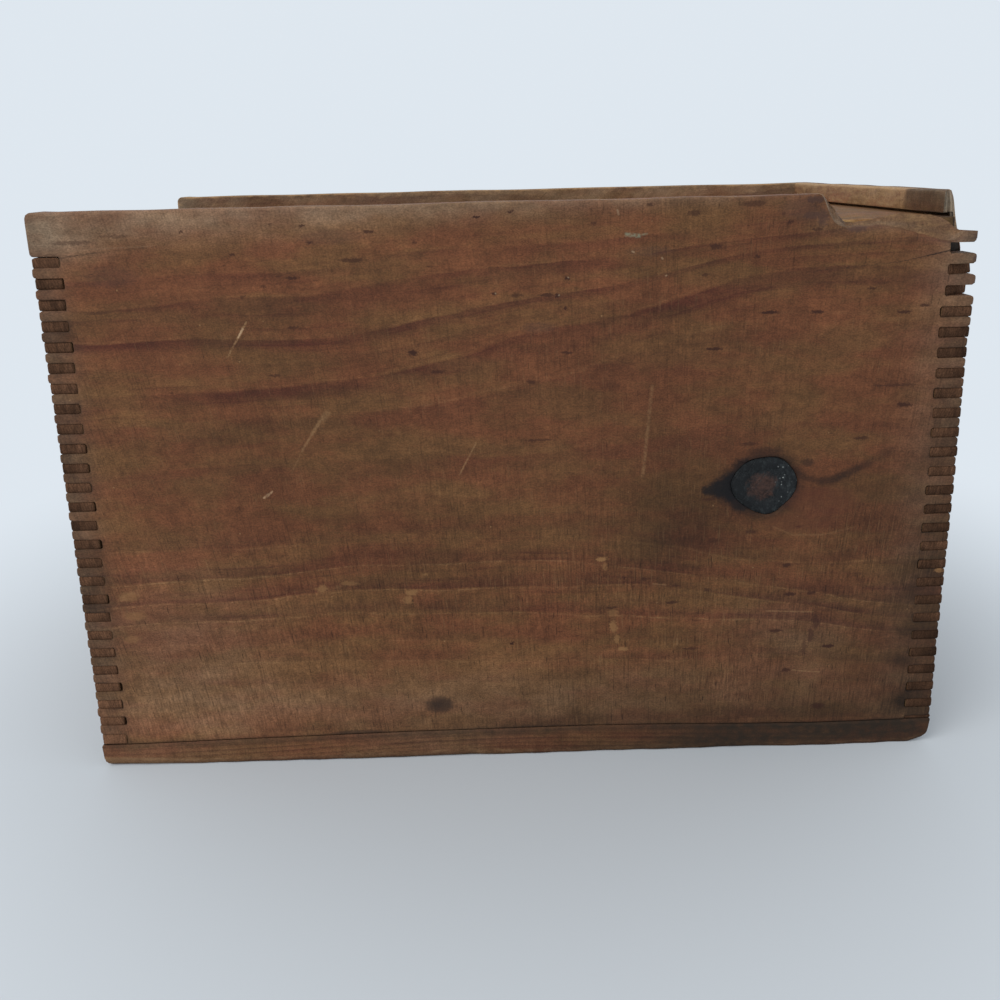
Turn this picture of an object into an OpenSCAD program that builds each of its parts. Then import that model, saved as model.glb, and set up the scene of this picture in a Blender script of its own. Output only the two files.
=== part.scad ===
// Pine storage box with machine-cut finger joints and a lid that slides in grooves.
// X runs along the front, the front face looks towards -Y, and Z = 0 is the table.

/* [Box] */
// Length of the box, over the ends of the fingers
box_w = 305; // [240:1:380]
// Depth of the box, from the front face to the back face
box_d = 192; // [150:1:260]
// Height of the box, from the table to the top edge
box_h = 197.5; // [170:0.5:260]

/* [Boards] */
// Thickness of the front and back boards
side_t = 9.6; // [8:0.1:13]
// Thickness of the two end boards
end_t = 9.6; // [8:0.1:13]
// Thickness of the bottom board
bottom_t = 10.2; // [6:0.1:13]
// Radius of the rounded top corners of the side boards, at the low end
top_corner_r = 2.3; // [0.5:0.1:5]
// Radius of the bottom board's worn corners
bottom_corner_r = 4; // [1:0.5:8]

/* [Corner joints] */
// Distance from one pin of an end board to the next
pin_pitch = 6.8; // [5.5:0.1:10]
// Height of a pin
pin_h = 3.4; // [2:0.1:4.5]
// Clearance above and below a pin
pin_gap = 0.1; // [0.05:0.01:0.3]
// How much lower the right joint starts than the left one
right_joint_drop = 2.4; // [0:0.1:3]

/* [Lid and groove] */
// Thickness of the lid between its bevels
lid_t = 5.9; // [4.5:0.1:8]
// Thickness of the lid at its bevelled edges
lid_edge_t = 5; // [2.5:0.1:5.4]
// Width of the bevel along the front, back and right edges
lid_bevel_w = 16; // [6:1:30]
// Clearance of the lid in its groove, on every face
lid_gap = 0.3; // [0.2:0.05:0.6]
// Depth of the groove into the boards
groove_deep = 4.8; // [3:0.1:5.5]
// Height of the lip above the groove
lip_h = 7.2; // [5:0.1:10]

/* [Thumb recess] */
// Radius of the recess in the lid's top
thumb_r = 13; // [8:0.5:20]
// Depth of the recess at its steep wall
thumb_deep = 2.4; // [1:0.1:3]
// Distance from the lid's open end to the steep wall
thumb_in = 14; // [8:1:40]

/* [Knot] */
// Place of the knot along X
knot_x = 87; // [-60:0.1:90]
// Height of the knot's centre
knot_z = 101.6; // [60:0.1:140]
// Radius of the knot on the front face
knot_front_r = 9.6; // [6:0.1:14]
// Radius of the knot on the inner face
knot_back_r = 7.4; // [4:0.1:14]
// Width of the crack round the knot
knot_gap = 0.15; // [0.05:0.01:0.4]

/* [Nails] */
// Diameter of a nail's shank
nail_d = 1.9; // [1.4:0.1:2.6]
// Length of a nail, from its head to its point
nail_len = 30; // [22:1:40]
// Diameter of a nail's head
nail_head_d = 4.8; // [3.5:0.1:6]
// Thickness of a nail's head
nail_head_t = 0.9; // [0.6:0.1:1.5]
// Length of the tapered point
nail_point = 3.5; // [2:0.5:5]
// How far a head is sunk below the underside
nail_sink = 0.4; // [0.2:0.1:1.5]
// Clearance round a nail in its hole
nail_gap = 0.05; // [0.03:0.01:0.15]
// Distance of the outer nails from the corners
nail_corner = 31; // [22:1:50]
// Nails along each side board
side_nails = 5; // [3:1:7]
// Nails along each end board
end_nails = 3; // [2:1:4]

/* [Damage] */
// Length of the piece broken out of the front board's top right corner
chip_w = 52; // [36:0.5:70]
// Radius of the scoop where the break starts
chip_scoop_r = 10; // [7:0.5:13]
// Distance of the break's crest from the right end
chip_crest_in = 25; // [16:0.1:28]
// Depth of the break's crest below the top edge
chip_crest_drop = 6.9; // [4:0.1:9]
// Height that the break leaves of the top tab, above the groove's floor
chip_stump_h = 1; // [0.4:0.1:3]
// How far the break in the right end board runs back along its outer face
break_back = 16; // [8:0.1:22]
// Height of the break in the right end board
break_tall = 34; // [25:0.5:60]

/* [Hidden] */
$fn = 48;

over = 1;
half_w = box_w / 2;
half_d = box_d / 2;
inner_w = half_w - end_t;
inner_d = half_d - side_t;

groove_h = lid_t + 2 * lid_gap;
groove_z = box_h - lip_h - groove_h;
left_joint_z = groove_z;
right_joint_z = groove_z - right_joint_drop;

lid_z = groove_z + lid_gap;
lid_half_d = inner_d + groove_deep - lid_gap;
lid_right = inner_w + groove_deep - lid_gap;
lid_left = -half_w;
thumb_tilt = atan(thumb_deep / (2 * thumb_r));

chip_x = half_w - chip_w + chip_scoop_r;
break_turn = atan2(break_back, end_t);
break_lean = atan(end_t * sin(break_turn) / break_tall);
break_size = 2 * break_tall;

nail_hole_top = nail_sink + nail_len + nail_gap;
front_nail_y = half_d - side_t / 2;
end_nail_x = half_w - end_t / 2;

function pins(top) = ceil((top - bottom_t) / pin_pitch);
function spread(half, count) = [for (i = [0 : count - 1]) -half + 2 * half * i / (count - 1)];

nail_places = concat(
    [for (x = spread(half_w - nail_corner, side_nails), s = [-1, 1]) [x, s * front_nail_y]],
    [for (y = spread(half_d - nail_corner, end_nails), s = [-1, 1]) [s * end_nail_x, y]]
);

// A block from the low corner to the high corner
module block(low, high) {
    translate(low) cube(high - low);
}

// Slots in a side board for an end board's pins; side is -1 at the left and 1 at the right
module pin_slots(side, top) {
    for (i = [0 : pins(top) - 1]) {
        slot_top = top - i * pin_pitch + pin_gap;
        slot_low = top - i * pin_pitch - pin_h - pin_gap;
        translate([side * half_w - end_t, -box_d, slot_low])
            cube([2 * end_t, 2 * box_d, slot_top - slot_low]);
    }
}

// Slots in an end board for the fingers of the front and back boards, and for their top tabs
module finger_slots(side, top) {
    for (end = [-1, 1]) {
        low_y = end > 0 ? inner_d : -half_d - over;
        for (i = [0 : pins(top) - 1])
            translate([side * half_w - 2 * end_t, low_y, top - (i + 1) * pin_pitch])
                cube([4 * end_t, side_t + over, pin_pitch - pin_h]);
        translate([side * half_w - 2 * end_t, low_y, top])
            cube([4 * end_t, side_t + over, box_h]);
    }
}

// Groove for the lid, along the whole length of both side boards and across the right end
module lid_groove() {
    block([-half_w - over, -inner_d - groove_deep, groove_z],
          [half_w + over, inner_d + groove_deep, groove_z + groove_h]);
}

// Holes for the nails, with a recess for each head
module nail_holes() {
    for (p = nail_places)
        translate([p.x, p.y, -over]) {
            cylinder(d = nail_d + 2 * nail_gap, h = nail_hole_top + over);
            cylinder(d = nail_head_d + 2 * nail_gap, h = nail_sink + nail_head_t + nail_gap + over);
        }
}

// Outline of a side board seen from the front, with its rounded top corner at the low end
module side_outline() {
    r = top_corner_r;
    translate([-half_w, bottom_t]) square([box_w, box_h - bottom_t - r]);
    translate([-half_w + r, box_h - 2 * r]) square([box_w - r, 2 * r]);
    translate([-half_w + r, box_h - r]) circle(r);
}

// A side board with its fingers cut and its groove run
module side_board(back) {
    difference() {
        translate([0, back ? half_d : -inner_d, 0])
            rotate([90, 0, 0]) linear_extrude(side_t) side_outline();
        pin_slots(-1, left_joint_z);
        pin_slots(1, right_joint_z);
        lid_groove();
        nail_holes();
    }
}

// Break in the front board's top right corner, seen from the front: a scoop, then a low crest
module chip_outline() {
    translate([chip_x, box_h]) circle(chip_scoop_r);
    polygon([
        [chip_x, box_h - chip_scoop_r],
        [half_w - chip_crest_in, box_h - chip_crest_drop],
        [inner_w, groove_z + chip_stump_h],
        [half_w + over, groove_z + chip_stump_h],
        [half_w + over, box_h + over],
        [chip_x, box_h + over],
    ]);
}

// Tapered round plug along Y at the knot's place, grown by the given margin
module knot_plug(margin, reach) {
    slope = (knot_front_r - knot_back_r) / side_t;
    translate([knot_x, -half_d - reach, knot_z])
        rotate([-90, 0, 0])
            cylinder(
                r1 = knot_front_r + margin + slope * reach,
                r2 = knot_back_r + margin - slope * reach,
                h = side_t + 2 * reach
            );
}

module front_board() {
    color("#7a4f33")
    difference() {
        side_board(false);
        translate([0, -inner_d + over, 0])
            rotate([90, 0, 0]) linear_extrude(side_t + 2 * over) chip_outline();
        knot_plug(knot_gap, over);
    }
}

module front_knot() {
    color("#2c211b")
    knot_plug(0, 0);
}

module back_board() {
    color("#80563a")
    side_board(true);
}

// An end board up to the given height, with pins at its front and back
module end_board(side, top, joint_top) {
    outer = side * half_w;
    inner = side * inner_w;
    difference() {
        block([min(outer, inner), -half_d, bottom_t], [max(outer, inner), half_d, top]);
        finger_slots(side, joint_top);
        nail_holes();
    }
}

module left_end_board() {
    color("#6f4a32")
    end_board(-1, groove_z, left_joint_z);
}

// What is split off the right end board's upper front corner, along a leaning plane
module corner_break() {
    intersection() {
        translate([inner_w, -inner_d, box_h])
            rotate([0, 0, break_turn])
                rotate([-break_lean, 0, 0])
                    translate([-break_size, -break_size, -break_size])
                        cube([2 * break_size, break_size, 2 * break_size]);
        block([0, -box_d, box_h - break_tall], [box_w, box_d, box_h + over]);
    }
}

module right_end_board() {
    color("#6b4630")
    difference() {
        end_board(1, box_h, right_joint_z);
        block([inner_w - over, -inner_d - groove_deep, groove_z],
              [inner_w + groove_deep, inner_d + groove_deep, groove_z + groove_h]);
        corner_break();
    }
}

module bottom_board() {
    r = bottom_corner_r;
    color("#75492d")
    difference() {
        linear_extrude(bottom_t) {
            square([box_w - 2 * r, box_d], center = true);
            square([box_w, box_d - 2 * r], center = true);
            for (x = [-1, 1], y = [-1, 1])
                translate([x * (half_w - r), y * (half_d - r)]) circle(r);
        }
        nail_holes();
    }
}

// Lid cut to its bevels: one profile runs along the length, the other across it
module sliding_lid() {
    top = lid_z + lid_t;
    edge = lid_z + lid_edge_t;
    color("#8a6241")
    difference() {
        intersection() {
            translate([lid_left, 0, 0])
                rotate([90, 0, 90])
                    linear_extrude(lid_right - lid_left)
                        polygon([
                            [-lid_half_d, lid_z],
                            [lid_half_d, lid_z],
                            [lid_half_d, edge],
                            [lid_half_d - lid_bevel_w, top],
                            [-lid_half_d + lid_bevel_w, top],
                            [-lid_half_d, edge],
                        ]);
            translate([0, lid_half_d, 0])
                rotate([90, 0, 0])
                    linear_extrude(2 * lid_half_d)
                        polygon([
                            [lid_left, lid_z],
                            [lid_right, lid_z],
                            [lid_right, edge],
                            [lid_right - lid_bevel_w, top],
                            [lid_left, top],
                        ]);
        }
        translate([lid_left + thumb_in + thumb_r, 0, top - thumb_deep / 2])
            rotate([0, -thumb_tilt, 0])
                cylinder(r = thumb_r, h = lid_t);
    }
}

// Wire nail standing on its head, point up
module nail() {
    shank_h = nail_len - nail_head_t - nail_point;
    cylinder(d = nail_head_d, h = nail_head_t);
    translate([0, 0, nail_head_t]) cylinder(d = nail_d, h = shank_h);
    translate([0, 0, nail_len - nail_point]) cylinder(d1 = nail_d, d2 = nail_d / 6, h = nail_point);
}

module bottom_nails() {
    color("#5a4a42")
    for (p = nail_places)
        translate([p.x, p.y, nail_sink]) nail();
}

front_board();
front_knot();
back_board();
left_end_board();
right_end_board();
bottom_board();
sliding_lid();
bottom_nails();
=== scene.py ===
import math

import bpy
import numpy as np
from mathutils import Matrix


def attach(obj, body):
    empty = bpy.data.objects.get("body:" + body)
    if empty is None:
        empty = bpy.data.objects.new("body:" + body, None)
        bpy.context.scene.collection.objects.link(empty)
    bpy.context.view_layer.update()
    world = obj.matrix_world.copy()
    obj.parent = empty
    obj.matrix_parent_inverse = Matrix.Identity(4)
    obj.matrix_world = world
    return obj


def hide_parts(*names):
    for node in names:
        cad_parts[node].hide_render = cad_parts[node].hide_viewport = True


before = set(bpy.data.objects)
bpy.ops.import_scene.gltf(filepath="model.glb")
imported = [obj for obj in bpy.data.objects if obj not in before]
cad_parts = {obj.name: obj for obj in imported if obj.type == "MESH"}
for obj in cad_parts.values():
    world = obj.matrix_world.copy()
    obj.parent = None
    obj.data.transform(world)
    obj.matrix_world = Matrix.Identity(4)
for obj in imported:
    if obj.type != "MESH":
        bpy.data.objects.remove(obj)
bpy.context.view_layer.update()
print("frame loaded")

mm = 0.001

# the box in millimetres: front face at y = -halfD, underside at z = 0
box = {
    "halfW": 152.5, "halfD": 96.0, "top": 197.5, "boardT": 9.6, "bottomT": 10.2,
    "grooveLow": 183.8, "grooveHigh": 190.3, "grooveDeep": 4.8,
    # how round the boards are worn: top corners of the long sides, outer, inner and low edges, slots
    "leftCornerR": 2.6, "rightCornerR": 2.4, "outerR": 0.95, "innerR": 0.5, "lowR": 0.45, "slotR": 0.08,
    # the walls' low edge, x and z, and how far up its bow is felt
    "bowReach": 5.0,
    "low": [(-152.5, 9.2), (-130, 9.4), (-100, 10.0), (-70, 10.5), (-40, 11.0), (30, 11.3), (60, 10.9),
            (82, 10.2), (110, 9.7), (135, 9.9), (152.5, 10.1)],
}
innerW = box["halfW"] - box["boardT"]
innerD = box["halfD"] - box["boardT"]
grooveMarks = [box["grooveLow"], box["grooveLow"] + 0.15, box["grooveHigh"] - 0.15, box["grooveHigh"]]
# grid lines beside an edge, and below the top
besideEdge = [-1.5, -0.8, -0.35, 0.35, 0.8, 1.5]
belowTop = np.array([1.5, 0.8, 0.35])
joint = {"pitch": 6.8, "pin": 3.4, "count": 26, "leftTop": 183.8, "rightTop": 181.4, "slack": 0.06,
         # rounding of the finger tips and of the slots' inner ends, and how far along x it is felt
         "tipR": 1.1, "slotEndR": 0.9, "reach": 2.4, "slotReach": 2.0,
         # how much the three top right fingers have lost
         "shortTips": [0.6, 1.0, 1.8],
         # wear of the right tips and length of the right slots, by height
         "rightWear": [(10, 0.1), (60, 0.3), (100, 0.35), (125, 0.7), (150, 0.9), (162, 0.7), (168, 0.2),
                       (197.5, 0.1)],
         "rightLonger": [(10, 0.3), (60, 0.7), (100, 0.5), (128, 0.9), (145, 1.5), (160, 1.5), (168, 0.5),
                         (197.5, 0.2)]}


def linear(red, green, blue):
    # sRGB 0-255 to a linear colour
    c = np.array([red, green, blue]) / 255
    c = np.where(c <= 0.04045, c / 12.92, ((c + 0.055) / 1.055) ** 2.4)
    return (*c.tolist(), 1.0)


def ripples(u, v, wave, seed, count=7):
    # sum of sines, each with its own direction, phase and a length near wave; about -1 to 1
    dice = np.random.default_rng(seed)
    total = np.zeros(np.broadcast(u, v).shape)
    for k in range(count):
        turn = dice.uniform(0, np.pi)
        size = 2 * np.pi / (wave * dice.uniform(0.6, 1.7))
        total += np.sin((u * np.cos(turn) + v * np.sin(turn)) * size + dice.uniform(0, 6.28))
    return total / (1.2 * count ** 0.5)


def spread(d, low, high):
    # smooth step from 0 at low to 1 at high
    t = np.clip((d - low) / (high - low), 0, 1)
    return t * t * (3 - 2 * t)


def rimDrop(d, r):
    # quarter circle: r at the edge, 0 from r inwards
    e = np.clip(r - d, 0, r)
    return r - np.sqrt(np.maximum(r * r - e * e, 0))


def gridLines(low, high, step, marks, rims):
    # marks are kept exactly, rims stand beside them, and step fills the rest
    marks = np.clip(np.asarray(marks, float), low, high)
    exact = np.unique(np.round(np.concatenate([marks, [low, high]]), 4))
    near = (exact[:, None] + np.asarray(rims)[None, :]).ravel()
    near = near[(near > low) & (near < high)]
    near = near[np.abs(near[:, None] - exact[None, :]).min(1) > 0.12]
    lines = np.unique(np.round(np.concatenate([exact, near]), 4))
    fill = np.arange(low, high, step)
    fill = fill[np.abs(fill[:, None] - lines[None, :]).min(1) > step * 0.45]
    return np.unique(np.concatenate([lines, fill]))


def pinSpans(top):
    # low and high edge of each pin: one pitch apart from top down, lowest first
    high = top - joint["pitch"] * np.arange(joint["count"])
    return np.stack([high - joint["pin"], high], 1)[::-1]


def within(h, spans):
    # true where a height lies between the edges of any span
    return ((h[..., None] > spans[:, 0]) & (h[..., None] < spans[:, 1])).any(-1)


def spanDistance(h, spans):
    # distance up or down to the nearest span, 0 inside one
    gap = np.maximum(np.maximum(spans[:, 0] - h[..., None], h[..., None] - spans[:, 1]), 0)
    return gap.min(-1)


def edgeDistance(h, spans):
    # distance up or down to the nearest edge of a span
    return np.minimum(np.abs(h[..., None] - spans[:, 0]), np.abs(h[..., None] - spans[:, 1])).min(-1)


def spanIndex(h, spans):
    # number of the span whose middle is nearest
    mid = spans.mean(1)
    return np.abs(h[..., None] - mid).argmin(-1)


def roundCorner(s, h, cornerS, cornerH, r):
    # square to disc map: the square of side r at a corner becomes a quarter disc
    turnS = np.sign(-cornerS) if cornerS else 1
    turnH = -1 if cornerH > 60 else 1
    a = 1 - (s - cornerS) * turnS / r
    b = 1 - (h - cornerH) * turnH / r
    hit = (a > 0) & (b > 0)
    a2 = np.where(hit, a * np.sqrt(np.clip(1 - b * b / 2, 0, 1)), a)
    b2 = np.where(hit, b * np.sqrt(np.clip(1 - a * a / 2, 0, 1)), b)
    roundS = np.where(hit, cornerS + turnS * r * (1 - a2), s)
    roundH = np.where(hit, cornerH + turnH * r * (1 - b2), h)
    return roundS, roundH


def follow(x, rows):
    # value at x on the straight lines through rows of x and value
    return np.interp(x, *np.array(rows).T)


def lowEdge(x):
    # height of the walls' bowed low edge
    return follow(x, box["low"])


def inGroove(h):
    # true inside the groove that holds the lid
    return (h > box["grooveLow"] + 0.1) & (h < box["grooveHigh"] - 0.1)


def plate(outer, inner, keep, levels):
    # two grids of points, joined by walls along every border of the kept cells
    n, m = outer.shape[:2]
    grid = np.arange(n * m).reshape(n, m)
    i, j = np.nonzero(keep)
    face = np.stack([grid[i, j], grid[i + 1, j], grid[i + 1, j + 1], grid[i, j + 1]], 1)
    pad = np.pad(keep, 1)
    left, right = pad[0:n, 1:m], pad[1:n + 1, 1:m]
    low, high = pad[1:n, 0:m], pad[1:n, 1:m + 1]
    edges, ends = [], []
    for test, ends0, p, q in (
        (right & ~left, 1, (0, 0), (0, 1)), (left & ~right, 1, (0, 1), (0, 0)),
        (high & ~low, 0, (1, 0), (0, 0)), (low & ~high, 0, (0, 0), (1, 0)),
    ):
        a, b = np.nonzero(test)
        edges.append(np.stack([grid[a + p[0], b + p[1]], grid[a + q[0], b + q[1]]], 1))
        ends.append(np.full(len(a), ends0))
    edges, ends = np.concatenate(edges), np.concatenate(ends)
    rim, place = np.unique(edges, return_inverse=True)
    place = place.reshape(-1, 2)
    endFlag = np.zeros(n * m)
    endFlag[edges[ends == 1].ravel()] = 1
    rimFlag = np.zeros(n * m)
    rimFlag[rim] = 1
    a, b = outer.reshape(-1, 3), inner.reshape(-1, 3)
    levels = np.asarray(levels)
    wall = a[rim][None] + (b[rim] - a[rim])[None] * levels[:, None, None]
    points = np.concatenate([a, b, wall.reshape(-1, 3)])
    node = np.concatenate([np.arange(n * m), np.arange(n * m), np.tile(rim, len(levels))])
    level = np.concatenate([np.zeros(n * m), np.ones(n * m), np.repeat(levels, len(rim))])
    between = [2 * n * m + k * len(rim) + np.arange(len(rim)) for k in range(len(levels))]
    ids = [rim, *between, rim + n * m]
    quads = [face, face[:, ::-1] + n * m]
    for k in range(len(ids) - 1):
        p, q = place[:, 0], place[:, 1]
        quads.append(np.stack([ids[k][p], ids[k][q], ids[k + 1][q], ids[k + 1][p]], 1))
    quads = np.concatenate(quads)
    used = np.unique(quads)
    back = np.zeros(len(points), int)
    back[used] = np.arange(len(used))
    node = node[used]
    return {
        "points": points[used], "quads": back[quads], "node": node, "level": level[used],
        "end": endFlag[node], "wall": rimFlag[node],
    }


def carry(made, **fields):
    # each point of a plate takes the value of its own grid node
    for key, values in fields.items():
        made[key] = values.ravel()[made["node"]]
    return made


def putMesh(name, points, quads, traits, grain, material):
    # faces turned outwards by the sign of the volume
    a, b, c, d = (points[quads[:, k]] for k in range(4))
    volume = (np.cross(b - a, c - a) * a).sum() + (np.cross(c - a, d - a) * a).sum()
    if volume < 0:
        quads = quads[:, ::-1]
    mesh = bpy.data.meshes.new(name)
    single = quads[:, 2] == quads[:, 3]
    mesh.from_pydata((points * mm).tolist(), [], quads[~single].tolist() + quads[single][:, :3].tolist())
    mesh.update()
    for key, values in traits.items():
        layer = mesh.attributes.new(key, "FLOAT", "POINT")
        layer.data.foreach_set("value", np.ascontiguousarray(values, np.float32))
    layer = mesh.attributes.new("grainPlace", "FLOAT_VECTOR", "POINT")
    layer.data.foreach_set("vector", np.ascontiguousarray(grain, np.float32).ravel())
    mesh.shade_smooth()
    mesh.set_sharp_from_angle(angle=math.radians(48))
    mesh.materials.append(material)
    piece = bpy.data.objects.new(name, mesh)
    bpy.context.scene.collection.objects.link(piece)
    return piece


def finishPiece(piece, body, node):
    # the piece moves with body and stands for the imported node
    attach(piece, body)
    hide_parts(node)
    print(piece.name, len(piece.data.polygons), "faces")


def spots(x, z, rows):
    # sum of soft ellipses: strength times e to the minus square of the distance in half sizes
    total = np.zeros(x.shape)
    for cx, cz, rx, rz, strength in rows:
        total += strength * np.exp(-((x - cx) / rx) ** 2 - ((z - cz) / rz) ** 2)
    return total


def put(tree, kind, values=(), **settings):
    # a node of one kind, with a link or a constant for each input that is given
    one = tree.nodes.new(kind)
    for key, value in settings.items():
        setattr(one, key, value)
    for k, value in (values.items() if isinstance(values, dict) else enumerate(values)):
        if value is None:
            continue
        if isinstance(value, bpy.types.NodeSocket):
            tree.links.new(value, one.inputs[k])
        else:
            one.inputs[k].default_value = value
    return one


def calc(tree, operation, a, b=None, clamp=False):
    # arithmetic on one or two numbers
    return put(tree, "ShaderNodeMath", [a, b], operation=operation, use_clamp=clamp).outputs[0]


def vectors(tree, operation, *values):
    # arithmetic on vectors, which gives a vector or a number
    number = operation in ("LENGTH", "DISTANCE", "DOT_PRODUCT")
    return put(tree, "ShaderNodeVectorMath", values, operation=operation).outputs[int(number)]


def stretch(tree, place, x, y, z):
    # each coordinate times its own factor
    return vectors(tree, "MULTIPLY", place, (x, y, z))


def noise(tree, place, detail=2.0, rough=0.5, shift=0.0):
    # fractal noise from 0 to 1; shift moves it, so that no two are alike
    moved = vectors(tree, "ADD", place, (shift, shift * 0.7, shift * 1.3))
    values = {"Vector": moved, "Scale": 1.0, "Detail": detail, "Roughness": rough}
    return put(tree, "ShaderNodeTexNoise", values).outputs[0]


def ease(tree, value, low, high, toLow=0.0, toHigh=1.0):
    # smooth step from toLow at low to toHigh at high
    values = [value, low, high, toLow, toHigh]
    return put(tree, "ShaderNodeMapRange", values, interpolation_type="SMOOTHSTEP").outputs[0]


def mix(tree, factor, a, b, mode="MIX"):
    # a where factor is 0, b where it is 1
    values = {0: factor, 6: a, 7: b}
    return put(tree, "ShaderNodeMix", values, data_type="RGBA", blend_type=mode).outputs[2]


def voronoi(tree, place, feature="F1"):
    # cells about scattered points: distance to the nearest, and random numbers for each cell
    return put(tree, "ShaderNodeTexVoronoi", {"Vector": place, "Scale": 1.0}, feature=feature).outputs


def gain(tree, colour, value):
    # colour times value
    colour = colour[:3] if isinstance(colour, tuple) else colour
    return put(tree, "ShaderNodeVectorMath", {0: colour, 3: value}, operation="SCALE").outputs[0]


def group(name, inputs, outputs):
    # an empty node group with its sockets
    tree = bpy.data.node_groups.new(name, "ShaderNodeTree")
    for key, kind in inputs:
        tree.interface.new_socket(key, in_out="INPUT", socket_type="NodeSocket" + kind)
    for key, kind in outputs:
        tree.interface.new_socket(key, in_out="OUTPUT", socket_type="NodeSocket" + kind)
    return tree, tree.nodes.new("NodeGroupInput").outputs, tree.nodes.new("NodeGroupOutput").inputs


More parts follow.
